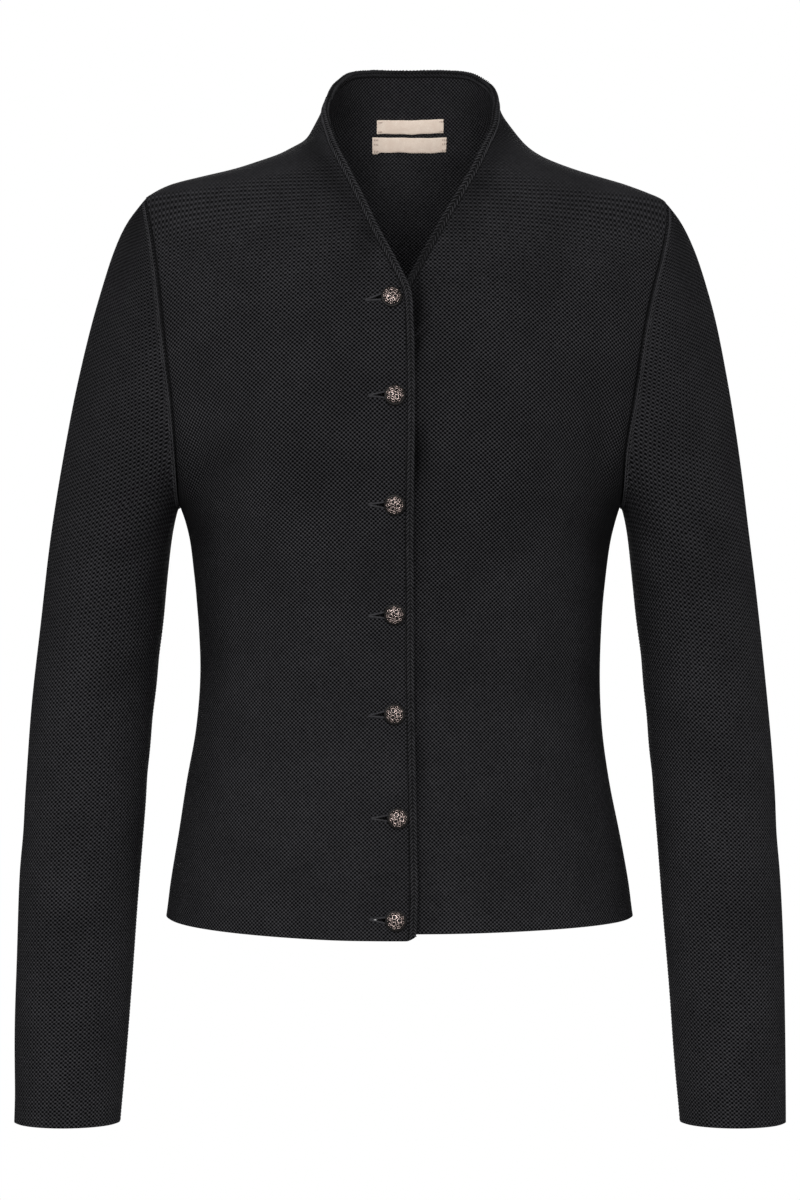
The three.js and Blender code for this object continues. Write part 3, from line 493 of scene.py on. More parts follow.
def side_line(side, face, shares):
    """A panel's side line by row: turn, height, outer and inner rim points."""
    s = np.asarray(shares)
    half, shoulder = SEAM_GAP / 2, SHOULDER_POINT[side][1]
    arm = (s >= AT_UNDERARM) & (s <= AT_SHOULDER)
    turn = PI * np.clip((s - AT_UNDERARM) / (AT_SHOULDER - AT_UNDERARM), 0, 1)
    low = HEM_SIDE[side] + (UNDERARM - HEM_SIDE[side]) * s / AT_UNDERARM
    climb = np.clip((s - AT_SHOULDER) / (1 - AT_SHOULDER), 0, 1) ** 1.5
    high = shoulder + (collar_panel_top(side) - shoulder) * climb
    z = np.where(arm, armhole_height(side, turn), np.where(s < AT_UNDERARM, low, high))
    quarter = np.full_like(s, SIGN[side] * PI / 2)
    line = lookup(ARMHOLE_LINE[side], "x", z)
    spot = np.where(arm, turn_at(SIGN[side] * line, z, face < 0), quarter)
    seam = body_point(quarter, z)
    seam_in = seam - body_normal(quarter, z) * WALL
    pairs = []
    for inward, plain in ((0, seam), (WALL, seam_in)):
        hole = armhole_point(side, face, turn, inward, -half)
        rim = np.where(arm[:, None], hole, plain)
        rim[:, 1] = -face * np.maximum(-face * rim[:, 1], half)
        rim[:, 1] = np.where(arm, rim[:, 1], -face * half)
        pairs.append(rim)
    return spot, z, pairs[0], pairs[1]


# The knit's own measure

# By height on the body: width of a stitch pair, height of two rows, how open the pearls are
# and how far they draw together to rows
GAUGE = table("z across rows open lines", [
    (-545, 2.7, 2.52, 0.92, 0.08), (-430, 2.7, 2.55, 0.96, 0.08), (-330, 2.75, 2.6, 1.02, 0.06),
    (-240, 2.95, 2.72, 1.10, 0.05), (-150, 3.0, 2.75, 1.12, 0.08), (-80, 2.95, 2.65, 0.94, 0.34),
    (-30, 2.9, 2.45, 0.70, 0.62), (0, 2.85, 2.45, 0.68, 0.50), (70, 2.85, 2.5, 0.78, 0.25)])
GAUGE_TURNS = np.linspace(0, PI, 181)
GAUGE_STEP = 3.0
GAUGE_HEIGHTS = np.arange(-548, 78, GAUGE_STEP)


def measure(sign):
    """Length of cloth from the centre front, by turn and height."""
    turn, z = np.meshgrid(GAUGE_TURNS, GAUGE_HEIGHTS, indexing="ij")
    p = body_point(sign * turn, z, folded=False)
    around = np.zeros(turn.shape)
    around[1:] = np.cumsum(np.linalg.norm(np.diff(p, axis=0), axis=2), axis=0)
    return around


MEASURE = {-1: measure(-1), 1: measure(1)}
ROWS_UP = np.cumsum(GAUGE_STEP / lookup(GAUGE, "rows", GAUGE_HEIGHTS))


def knit_look(turn, z, panel):
    """How open the pearls are, and how far they draw together to rows."""
    level = np.abs(body_normal(turn, z, folded=False)[..., 2])
    steep = 1 - 0.85 * smoothstep(level, 0.42, 0.75)
    share = 0.2 if panel == "back" else 1.0
    return lookup(GAUGE, "open", z) * steep, lookup(GAUGE, "lines", z) * steep * share


def knit_place(turn, z, panel):
    """Stitch pairs across and double rows up, at places on the body."""
    wrapped = np.where(turn > PI, turn - 2 * PI, turn)
    sign = np.where(wrapped < 0, -1, 1)
    row = np.abs(wrapped) / (GAUGE_TURNS[1] - GAUGE_TURNS[0])
    column = (z - GAUGE_HEIGHTS[0]) / GAUGE_STEP

    def length_at(row):
        return np.where(sign < 0, bilinear(MEASURE[-1], row, column),
                        bilinear(MEASURE[1], row, column))
    around = length_at(row)
    if panel == "back":
        around = length_at(row * 0 + len(GAUGE_TURNS) - 1) - around
    # Over the shoulders the columns stay upright
    straight = smoothstep(z, -90, -30) * (1 - smoothstep(z, 4, 34))
    x = np.abs(body_point(turn, z, folded=False)[..., 0])
    around = lerp(around, 1.03 * x, straight)
    up = np.interp(z, GAUGE_HEIGHTS, ROWS_UP)
    arch = smoothstep(z, -330, -230) * (1 - smoothstep(z, -70, -20)) * (panel != "back")
    up = up + 5.5 * (around / 100) ** 2 * arch / 2.8
    return np.stack([sign * around / lookup(GAUGE, "across", z), up], -1)


# Meshes

def write_values(mesh, name, values):
    layer = mesh.attributes.new(name, "FLOAT", "POINT")
    layer.data.foreach_set("value", values.astype(np.float32))


def make_object(name, verts, faces, material, faces_material=None, shade=None):
    mesh = bpy.data.meshes.new(name)
    mesh.from_pydata((np.asarray(verts) * MM).tolist(), [], faces)
    mesh.polygons.foreach_set("use_smooth", [True] * len(mesh.polygons))
    for m in material if isinstance(material, list) else [material]:
        mesh.materials.append(m)
    if faces_material is not None:
        mesh.polygons.foreach_set("material_index", faces_material)
    mesh.update()
    write_values(mesh, "shade", np.ones(len(mesh.vertices)) if shade is None else shade)
    obj = bpy.data.objects.new(name, mesh)
    bpy.context.scene.collection.objects.link(obj)
    return obj


def rim_loops(rows, spans, around, removed):
    """Directed edges of a grid's borders, as pairs of (row, column)."""
    loops = [((0, j + 1), (0, j)) for j in range(spans)]
    loops += [((rows - 1, j), (rows - 1, j + 1)) for j in range(spans)]
    if around:
        return loops, []
    loops += [((i, 0), (i + 1, 0)) for i in range(rows - 1)]
    loops += [((i + 1, spans), (i, spans)) for i in range(rows - 1)]
    holes = []
    for i, j in zip(*np.nonzero(removed)) if removed is not None else ():
        sides = (((i - 1, j), ((i, j), (i, j + 1))), ((i + 1, j), ((i + 1, j + 1), (i + 1, j))),
                 ((i, j + 1), ((i, j + 1), (i + 1, j + 1))), ((i, j - 1), ((i + 1, j), (i, j))))
        holes += [edge for cell, edge in sides if not removed[cell]]
    return loops, holes


def wall(name, outer, inner, place, tone, lines, material, around=False, removed=None,
         bulge=0.5, shade=None, inside=1.0):
    """A thin shell between two grids, with rounded rims and the knit's own places."""
    rows, columns = outer.shape[:2]
    spans = columns if around else columns - 1
    count = rows * columns
    ii, jj = np.meshgrid(np.arange(rows - 1), np.arange(spans), indexing="ij")
    keep = np.ones(ii.shape, bool) if removed is None else ~removed
    ii, jj = ii[keep], jj[keep]
    after = (jj + 1) % columns
    a, b = ii * columns + jj, ii * columns + after
    c, d = b + columns, a + columns
    faces = np.vstack([np.stack([a, b, c, d], 1), np.stack([a, d, c, b], 1) + count])
    corners = [place[ii, jj], place[ii, jj + 1], place[ii + 1, jj + 1], place[ii + 1, jj]]
    uv = np.vstack([np.stack(corners, 1), np.stack([corners[k] for k in (0, 3, 2, 1)], 1)])
    verts = [outer.reshape(-1, 3), inner.reshape(-1, 3)]
    loops, holes = rim_loops(rows, spans, around, removed)
    rim, extra, quads, places = {}, [], [], []
    middle = {0: 1, rows - 1: rows - 2}
    for edge in loops:
        for i, j in edge:
            key = (i, j % columns)
            if key in rim:
                continue
            near_i = middle.get(i, i)
            near_j = key[1] if around else {0: 1, columns - 1: columns - 2}.get(j, j)
            o, n = outer[key], inner[key]
            away = o - outer[near_i, near_j]
            thick = o - n
            away = away - thick * (away @ thick) / max(thick @ thick, 1e-9)
            rim[key] = 2 * count + len(extra)
            extra.append((o + n) / 2 + away / max(np.linalg.norm(away), 1e-9) * bulge)
    for (p, q), mids in [(e, True) for e in loops] + [(e, False) for e in holes]:
        kp, kq = (p[0], p[1] % columns), (q[0], q[1] % columns)
        op, oq = kp[0] * columns + kp[1], kq[0] * columns + kq[1]
        if mids:
            quads += [(op, oq, rim[kq], rim[kp]), (rim[kp], rim[kq], oq + count, op + count)]
            places += [[place[p], place[q], place[q], place[p]]] * 2
        else:
            quads.append((op, oq, oq + count, op + count))
            places.append([place[p], place[q], place[q], place[p]])
    verts = np.vstack(verts + [np.array(extra)])
    faces = faces.tolist() + quads
    # shade carries painted shade into the colour, and inside scales it on the inner face as painted
    # light
    shade = np.ones(tone.shape) if shade is None else shade
    shades = np.concatenate([shade.reshape(-1), (shade * inside).reshape(-1),
                             np.array([shade[key] for key in rim])])
    obj = make_object(name, verts, faces, material, shade=shades)
    layer = obj.data.uv_layers.new(name="knit")
    layer.data.foreach_set("uv", np.vstack([uv, np.array(places)]).reshape(-1))
    for attribute, grid in (("open", tone), ("lines", lines)):
        values = np.concatenate([grid.reshape(-1), grid.reshape(-1),
                                 np.array([grid[key] for key in rim])])
        write_values(obj.data, attribute, values)
    return obj


def tube(paths, radius, sides=8, closed=False, bumps=0.0, pitch=1.0, flat=1.0, normals=None):
    """Vertices and faces of round cords along paths, with bumps at a pitch if asked."""
    verts, faces = [], []
    for index, path in enumerate(paths):
        path = np.asarray(path, float)
        if closed:
            ahead, behind = np.roll(path, -1, 0), np.roll(path, 1, 0)
        else:
            ahead = np.vstack([path[1:], path[-1:] * 2 - path[-2:-1]])
            behind = np.vstack([path[:1] * 2 - path[1:2], path[:-1]])
        along = unit(ahead - behind)
        if normals is None:
            guide = np.tile([0.3, -1.0, 0.2], (len(path), 1))
        else:
            guide = np.asarray(normals[index])
        up = unit(guide - along * np.sum(guide * along, 1, keepdims=True))
        level = np.cross(along, up)
        run = run_along(path)
        swell = radius * (1 + bumps * np.abs(np.sin(PI * run / pitch)))
        if np.ndim(radius) == 0 and not closed:
            swell = swell * np.where((run == run[0]) | (run == run[-1]), 0.55, 1)
        base = sum(len(v) for v in verts)
        angle = np.arange(sides) * 2 * PI / sides
        ring = (np.cos(angle)[None, :, None] * level[:, None]
                + flat * np.sin(angle)[None, :, None] * up[:, None])
        verts.append((path[:, None] + ring * swell[:, None, None]).reshape(-1, 3))
        n = len(path)
        for i in range(n if closed else n - 1):
            for k in range(sides):
                p, q = i * sides + k, i * sides + (k + 1) % sides
                r, s = ((i + 1) % n) * sides, k
                faces.append((base + p, base + q, base + r + (k + 1) % sides, base + r + s))
        if not closed:
            faces.append(tuple(base + k for k in reversed(range(sides))))
            faces.append(tuple(base + (n - 1) * sides + k for k in range(sides)))
    return np.vstack(verts), faces


# Materials

class Finish:
    """A node material built from its Principled shader upwards."""

    def __init__(self, name, **sockets):
        self.material = bpy.data.materials.new(name)
        self.material.use_nodes = True
        self.nodes, self.links = self.material.node_tree.nodes, self.material.node_tree.links
        self.shader = self.nodes["Principled BSDF"]
        for socket, value in sockets.items():
            self.shader.inputs[socket.replace("_", " ")].default_value = value
        self.around = self.add("TexCoord").outputs["Object"]

    def add(self, kind, *inputs, **settings):
        node = self.nodes.new("ShaderNode" + kind)
        for key, value in settings.items():
            setattr(node, key, value)
        for i, value in enumerate(inputs):
            if value is None:
                continue
            if isinstance(value, bpy.types.NodeSocket):
                self.links.new(value, node.inputs[i])
            else:
                node.inputs[i].default_value = value
        return node

    def math(self, operation, a, b=None, c=None):
        return self.add("Math", a, b, c, operation=operation).outputs[0]

    def value_of(self, name):
        return self.add("Attribute", attribute_name=name).outputs["Fac"]

    def noise(self, scale, detail, rough=0.5, output="Fac"):
        node = self.add("TexNoise")
        self.links.new(self.around, node.inputs["Vector"])
        for socket, value in (("Scale", scale), ("Detail", detail), ("Roughness", rough)):
            node.inputs[socket].default_value = value
        return node.outputs[output]

    def ramp(self, value, low, high, to_low=0.0, to_high=1.0):
        node = self.add("MapRange", value, low, high, to_low, to_high)
        node.interpolation_type = "SMOOTHSTEP"
        return node.outputs[0]

    def mix(self, share, a, b):
        """Colour between two colours."""
        return self.add("Mix", share, *[None] * 5, a, b, data_type="RGBA").outputs[2]

    def scale(self, vector, by):
        return self.add("VectorMath", vector, None, None, by, operation="SCALE").outputs[0]

    def bump(self, height, distance, strength=1.0):
        node = self.add("Bump")
        node.inputs["Strength"].default_value = strength
        node.inputs["Distance"].default_value = distance
        self.links.new(height, node.inputs["Height"])
        return node.outputs["Normal"]

    def finish(self, colour, normal, roughness):
        for name, socket in (("Base Color", colour), ("Normal", normal),
                             ("Roughness", roughness)):
            self.links.new(socket, self.shader.inputs[name])
        return self.material


YARN = (0.0388, 0.0382, 0.0416, 1)
YARN_WARM = (0.0415, 0.0386, 0.0336, 1)
HOLE = (0.0004, 0.0004, 0.0005, 1)


def knit_material():
    f = Finish("moss_knit", Specular_IOR_Level=0.02, Sheen_Weight=0.008, Sheen_Roughness=0.6,
               Sheen_Tint=(0.8, 0.8, 0.86, 1))
    place = f.add("UVMap", uv_map="knit").outputs[0]
    # The stitches wander a little, as yarn does
    wander = f.noise(120, 3, output="Color")
    shift = f.add("VectorMath", wander, (0.5, 0.5, 0.5), operation="SUBTRACT").outputs[0]
    moved = f.add("VectorMath", place, f.scale(shift, 0.42), operation="ADD").outputs[0]
    xyz = f.add("SeparateXYZ", moved)
    across = f.math("COSINE", f.math("MULTIPLY", xyz.outputs[0], 2 * PI))
    up = f.math("COSINE", f.math("MULTIPLY", xyz.outputs[1], 2 * PI))
    pearls = f.math("MULTIPLY", across, up)
    openness, lines = f.value_of("open"), f.value_of("lines")
    # Pearls, drawn together to rows where the knit lies calmer
    drawn = f.math("SUBTRACT", f.math("MULTIPLY", up, 0.75), f.math("MULTIPLY", pearls, 0.4))
    lattice = f.math("MULTIPLY_ADD", drawn, lines, pearls)
    fibre = f.noise(1500, 3, 0.65)
    blotch = f.noise(26, 4, 0.6)
    stitch = f.noise(330, 2, 0.6)
    # Light net of yarn round dark openings, with its bright crossings
    net = f.ramp(lattice, -0.55, 0.75)
    cover = f.math("MULTIPLY_ADD", f.math("SUBTRACT", net, 0.42), openness, 0.42)
    cover = f.math("MULTIPLY_ADD", f.math("SUBTRACT", stitch, 0.5), 0.30, cover)
    cover = f.math("MINIMUM", f.math("MAXIMUM", cover, 0.0), 1.0)
    fleck = f.ramp(fibre, 0.60, 0.76)
    yarn = f.mix(fleck, YARN, YARN_WARM)
    colour = f.mix(cover, HOLE, yarn)
    shade = f.math("MULTIPLY", f.ramp(blotch, 0.25, 0.75, 0.86, 1.14),
                   f.ramp(fibre, 0.2, 0.8, 0.70, 1.30))
    # Random blotches and fibres, times the painted shade from the shade attribute
    colour = f.scale(colour, f.math("MULTIPLY", shade, f.value_of("shade")))
    height = f.math("MULTIPLY_ADD", fibre, 0.22, f.math("MULTIPLY", lattice, openness))
    rough = f.ramp(cover, 0, 1, 1.0, 0.82)
    return f.finish(colour, f.bump(height, 0.0007), rough)


def yarn_material(name, tint, sheen):
    """Smooth yarn of the bands and seams, with its twist and loose fibres."""
    f = Finish(name, Specular_IOR_Level=0.03, Sheen_Weight=sheen, Sheen_Roughness=0.5,
               Sheen_Tint=(0.8, 0.8, 0.86, 1))
    fibre = f.noise(1700, 3, 0.65)
    blotch = f.noise(90, 3, 0.6)
    twist = f.add("TexWave", bands_direction="DIAGONAL")
    f.links.new(f.around, twist.inputs["Vector"])
    twist.inputs["Scale"].default_value = 260
    twist.inputs["Distortion"].default_value = 2.0
    dark = tuple(0.55 * c for c in tint[:3]) + (1,)
    colour = f.mix(f.ramp(fibre, 0.3, 0.75), dark, tint)
    # Random blotches, times the painted shade from the shade attribute
    shade = f.math("MULTIPLY", f.ramp(blotch, 0.3, 0.7, 0.85, 1.15), f.value_of("shade"))
    height = f.math("MULTIPLY_ADD", twist.outputs["Fac"], 0.5, fibre)
    return f.finish(f.scale(colour, shade), f.bump(height, 0.00022, 0.7),
                    f.ramp(fibre, 0.2, 0.8, 0.95, 0.78))


def metal_material():
    f = Finish("rose_silver", Metallic=1.0)
    wear = f.noise(700, 4, 0.6)
    grain = f.noise(5200, 2, 0.5)
    # Light wire tops and dark flanks: partly wear and the dark patina of real filigree, partly a
    # painted highlight along each wire
    wear_and_painted_highlight = f.math("MULTIPLY", f.value_of("high"), f.ramp(wear, 0.30, 0.58, 0.35, 1.0))
    colour = f.mix(wear_and_painted_highlight, (0.020, 0.013, 0.011, 1), (0.50, 0.40, 0.37, 1))
    rough = f.ramp(wear, 0.3, 0.7, 0.42, 0.22)
    return f.finish(colour, f.bump(grain, 0.00006, 0.5), rough)


def recess_material():
    """Blackened ground under the filigree."""
    f = Finish("blackened_ground", Specular_IOR_Level=0.12)
    grain = f.noise(2600, 3, 0.6)
    colour = f.mix(f.ramp(grain, 0.35, 0.75), (0.0022, 0.0020, 0.0020, 1),
                   (0.0100, 0.0080, 0.0070, 1))
    return f.finish(colour, f.bump(grain, 0.00012, 0.6), f.ramp(grain, 0.2, 0.8, 0.55, 0.35))


def label_material():
    """Bare woven ribbon: fine cross threads, slightly soiled in patches."""
    f = Finish("woven_label", Specular_IOR_Level=0.25, Sheen_Weight=0.15, Sheen_Roughness=0.4)
    place = f.add("UVMap", uv_map="knit").outputs[0]
    xyz = f.add("SeparateXYZ", place)
    weft = f.math("COSINE", f.math("MULTIPLY", xyz.outputs[1], 2 * PI / 0.42))
    warp = f.math("COSINE", f.math("MULTIPLY", xyz.outputs[0], 2 * PI / 0.55))
    weave = f.math("MULTIPLY", weft, warp)
    blotch = f.noise(220, 4, 0.6)
    fibre = f.noise(2600, 2, 0.6)
    thread = f.math("MULTIPLY_ADD", fibre, 0.8, f.math("MULTIPLY", weave, 0.25))
    pale = f.mix(f.ramp(thread, 0.1, 0.8), (0.56, 0.46, 0.38, 1), (0.80, 0.70, 0.61, 1))
    colour = f.mix(f.ramp(blotch, 0.3, 0.75), (0.60, 0.49, 0.41, 1), pale)
    return f.finish(colour, f.bump(thread, 0.00012, 0.6), f.ramp(fibre, 0.2, 0.8, 0.9, 0.7))


def thread_material():
    f = Finish("sewing_thread", Specular_IOR_Level=0.3, Sheen_Weight=0.2)
    fibre = f.noise(3000, 2, 0.6)
    colour = f.mix(fibre, (0.16, 0.10, 0.08, 1), (0.42, 0.30, 0.25, 1))
    return f.finish(colour, f.bump(fibre, 0.00008, 0.5), f.ramp(fibre, 0.2, 0.8, 0.8, 0.6))


KNIT = knit_material()
BAND = yarn_material("band_yarn", (0.0375, 0.0370, 0.0398, 1), 0.01)
CHAIN = yarn_material("chain_yarn", (0.0355, 0.0350, 0.0376, 1), 0.01)
# Near-black: painted shade for the band's strip between its stitches and for the turned-in cloth seen
# in the seam gaps
SEAM = yarn_material("seam_shade_yarn", (0.0070, 0.0069, 0.0074, 1), 0.003)
SILVER, GROUND = metal_material(), recess_material()
CREAM, THREAD = label_material(), thread_material()


def rides(obj, slot, *nodes):
    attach(obj, "root")
    if nodes:
        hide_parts(*nodes)
    return obj


# Fronts

def spread(fine_near, fine_far, width, near_step, step):
    """Shares across a panel about `width` wide, fine beside both of its edges."""
    near = np.concatenate([[0, 0.5, 1.1, 1.9], np.arange(2.8, fine_near, near_step)])
    far = width - np.array([fine_far, 3.2, 2.2, 1.4, 0.7, 0])
    middle = np.linspace(near[-1] + near_step, far[0], int((far[0] - near[-1]) / step))
    return np.concatenate([near, middle[:-1], far]) / width


def eased(share):
    def curve(s):
        return (np.sqrt((s - 0.15) ** 2 + 0.004) + s - 0.15) / 2
    return (curve(share) - curve(0)) / (curve(1) - curve(0))


def slit_opening(x):
    """Half height of a buttonhole at x beside its button: a wedge held open by the shank."""
    share = np.clip((x - SLIT_FROM) / (SLIT_TO - SLIT_FROM), 0, 1)
    return SLIT_OPEN * share ** 1.15 * (1 - smoothstep(x, SLIT_TO, SLIT_TO + 4))


def slit_slope(x, slope):
    return slope * (x - SLIT_TO) * smoothstep(x, -24, -17) * (1 - smoothstep(x, -5.2, -4.8))


SLIT_ROWS = np.array([0.28, 0.8, 1.4, 2.1, 3.0, 4.2, 5.8])


def front_rows(side):
    rows = PANEL_ROWS
    if side == "left":
        return rows
    fine = np.linspace(0, 0.9, 900)
    edge = front_edge(side, fine)
    _, heights = inset_spot(edge, 1, BAND_INSET)
    for _, z in BUTTONS:
        low, high = (np.interp(z + s * BUTTON_RADIUS, heights, fine) for s in (-1, 1))
        rows = rows[(rows < low) | (rows > high)]
        offsets = np.concatenate([-SLIT_ROWS[::-1], SLIT_ROWS])
        rows = np.concatenate([rows, np.interp(z + offsets, heights, fine)])
    return np.unique(np.clip(np.round(rows, 9), 0, 1))


def dip(outer, rim, depth, reach):
    """How deep the outer face sinks beside a seam."""
    away = np.linalg.norm(outer - rim, axis=-1)
    return depth * np.exp(-(away / reach) ** 2)


def front_panel(side):
    rows = front_rows(side)
    edge = front_edge(side, rows)
    near_turn, near_z = inset_spot(edge, -SIGN[side], BAND_INSET)
    far_turn, far_z, rim_outer, rim_inner = side_line(side, 1, rows)
    shares = spread(26 if side == "right" else 8, 4.4, 150, 1.25, 3.4)
    share = shares[None, :-1]
    turn = lerp(near_turn[:, None], far_turn[:, None], share)
    z = lerp(near_z[:, None], far_z[:, None], eased(share))
    removed = np.zeros((len(rows) - 1, len(shares) - 1), bool)
    if side == "right":
        x = body_point(turn, z)[..., 0]
        for (bx, bz), slope in zip(BUTTONS, SLIT_SLOPES):
            inside = (x > bx + SLIT_FROM) & (x < bx + SLIT_TO) & (abs(z - bz) < 1)
            column = np.nonzero(inside.any(0))[0]
            row = np.nonzero(z[:, 6] < bz)[0][-1]
            removed[row, column[0]:column[-1]] = True
            off = z - bz
            opening = slit_opening(x - bx)
            near = np.exp(-np.maximum(np.abs(off) - 0.28, 0) / 2.6)
            z = z + np.sign(off) * opening * near + slit_slope(x - bx, slope) * near
    outer = panel_point(turn, z, side, 0.0)
    inner = panel_point(turn, z, side, -WALL)
    turn = np.hstack([turn, far_turn[:, None]])
    z = np.hstack([z, far_z[:, None]])
    outer = np.concatenate([outer, rim_outer[:, None]], 1)
    inner = np.concatenate([inner, rim_inner[:, None]], 1)
    armhole = ((rows >= AT_UNDERARM) & (rows <= AT_SHOULDER))[:, None]
    # Painted shade, darkest in a strip beside the armhole seam
    shade = painted_shade(turn, z, side) * (1 - armhole * dip(outer, rim_outer[:, None], 0.6, 2.0))
    sink = dip(outer, rim_outer[:, None], 0.9, 1.2) + dip(outer, outer[:, :1], 0.5, 0.9)
    sink = sink + armhole * dip(outer, rim_outer[:, None], 0.5, 2.0)
    outer = outer - unit(outer - inner) * sink[..., None]
    place = knit_place(turn, z, side)
    tone, lines = knit_look(turn, z, side)
    if side == "right":
        outer, inner, place, tone, lines, shade, removed = (
            a[:, ::-1] for a in (outer, inner, place, tone, lines, shade, removed))
    name = f"cloth_front_{side}"
    obj = wall(name, outer, inner, place, tone, lines, KNIT, removed=removed, shade=shade)
    return rides(obj, "knit", f"front_{side}")


# Back

def back_panel():
    rows = np.sort(np.concatenate([PANEL_ROWS, [0.9984, 0.9955]]))
    width = 330
    near = np.array([0, 0.7, 1.4, 2.2, 3.2, 4.4])
    middle = np.linspace(7, width - 7, 104)
    shares = np.concatenate([near, middle, width - near[::-1]]) / width
    left_turn, left_z, left_outer, left_inner = side_line("left", -1, rows)
    right_turn, right_z, right_outer, right_inner = side_line("right", -1, rows)
    right_turn = right_turn + 2 * PI
    share, climb = shares[None, 1:-1], rows[:, None]
    edge = collar_edge(shares[1:-1])
    top_turn, top_z = inset_spot(edge, -1, BAND_INSET)
    sides = lerp(left_z[:, None], right_z[:, None], share)
    ends = lerp(left_z[-1], right_z[-1], share)
    rise = (top_z[None] - ends) * climb ** 3
    sag = (HEM_BACK - left_z[0]) * (1 - climb) * np.sin(PI * share)
    flat = lerp(left_turn[:, None], right_turn[:, None], share)
    turn = lerp(flat, top_turn[None], climb ** 6)
    z = sides + rise + sag
    outer = panel_point(turn, z, "back", 0.0)
    inner = panel_point(turn, z, "back", -WALL)
    outer = np.concatenate([left_outer[:, None], outer, right_outer[:, None]], 1)
    inner = np.concatenate([left_inner[:, None], inner, right_inner[:, None]], 1)
    turn = np.hstack([left_turn[:, None], turn, right_turn[:, None]])
    z = np.hstack([left_z[:, None], z, right_z[:, None]])
    sink = dip(outer, left_outer[:, None], 0.9, 1.2) + dip(outer, right_outer[:, None], 0.9, 1.2)
    sink = sink + dip(outer, outer[-1:], 0.5, 0.9)
    outer = outer - unit(outer - inner) * sink[..., None]
    tone, lines = knit_look(turn, z, "back")
    # Painted shade on the outer face; on the inner face, seen through the neck, painted light, less
    # towards the collar's top
    obj = wall("cloth_back", outer, inner, knit_place(turn, z, "back"), tone, lines, KNIT,
               shade=painted_shade(turn, z, "back"), inside=1.46 - 0.40 * smoothstep(z, -5, 40))
    return rides(obj, "knit", "back")


# Sleeves

def sleeve_surface(side, t, angle):
    """Points of a sleeve's outer face: t counts rings from the armhole, angle from outside."""
    angle = np.asarray(angle, float)
    share = (1 + np.cos(angle)) / 2
    shoulder = SHOULDER_POINT[side][1]
    z = UNDERARM + (shoulder - UNDERARM) * share ** ARMHOLE_EGG
    x = lookup(ARMHOLE_LINE[side], "x", z) + SEAM_GAP / 2
    rings = [np.stack([x, -ARMHOLE_HALF_DEPTH * np.sin(angle), z], -1)]
    for high, low, half, forward, egg in SLEEVE_RINGS:
        extra = CAP_EXTRA[side] * smoothstep(high, -300, -90)
        out_x = lookup(SLEEVE_OUTER, "x", high) + extra
        in_x = lookup(SLEEVE_INNER, "x", low)
        s = share ** egg
        rings.append(np.stack([lerp(in_x, out_x, s), -forward - half * np.sin(angle),
                               lerp(low, high, s)], -1))
    p = np.array(rings)
    p = np.concatenate([[2 * p[0] - p[1]], p, [2 * p[-1] - p[-2]]])
    i = np.minimum(np.asarray(t).astype(int), len(rings) - 2)
    w = (t - i)[:, None, None]
    p0, p1, p2, p3 = p[i], p[i + 1], p[i + 2], p[i + 3]
    points = 0.5 * (2 * p1 + (p2 - p0) * w + (2 * p0 - 5 * p1 + 4 * p2 - p3) * w ** 2
                    + (3 * p1 - p0 - 3 * p2 + p3) * w ** 3)
    points[..., 0] *= SIGN[side]
    return points


def grid_normals(points, sign):
    ahead, behind = np.roll(points, -1, 1), np.roll(points, 1, 1)
    return unit(np.cross(ahead - behind, np.gradient(points, axis=0))) * sign


# Slope of a sleeve's columns by height, and its stitches' width and height
SLANT_STEP = 4.0
SLANT_HEIGHTS = np.arange(-680, 0, SLANT_STEP)
SLANTS = 0.06 + 0.32 * smoothstep(SLANT_HEIGHTS, -430, -170)
SLEEVE_ACROSS, SLEEVE_ROWS = 3.0, 2.66


def sleeve_knit(side, p):
    """Stitch pairs and double rows on a sleeve: its rows rise towards the body."""
    x, y, z = np.abs(p[..., 0]), p[..., 1], p[..., 2]
    outside = lookup(SLEEVE_OUTER, "x", z) + CAP_EXTRA[side] * smoothstep(z, -300, -90)
    inside = np.where(z > UNDERARM, lookup(ARMHOLE_LINE[side], "x", z),
                      lookup(SLEEVE_INNER, "x", z))
    rings = np.array(SLEEVE_RINGS)[::-1]
    middle = (rings[:, 0] + rings[:, 1]) / 2
    deep = np.interp(z, middle, rings[:, 2])
    forward = np.interp(z, middle, rings[:, 3])
    wide = np.maximum((outside - inside) / 2, 12)
    angle = np.arctan2(np.abs(y + forward) / deep, (x - (outside + inside) / 2) / wide)
    inward = (angle - PI / 2) * (wide + deep) / 2
    slant = np.interp(z, SLANT_HEIGHTS, SLANTS)
    up = np.interp(z, SLANT_HEIGHTS, np.cumsum(np.cos(SLANTS)) * SLANT_STEP)
    up = up - (outside - x) * np.sin(slant)
    return np.stack([inward / SLEEVE_ACROSS, up / SLEEVE_ROWS], -1)


# Inner seam line of each sleeve: points, normals and the way across
SLEEVE_LINES = {}


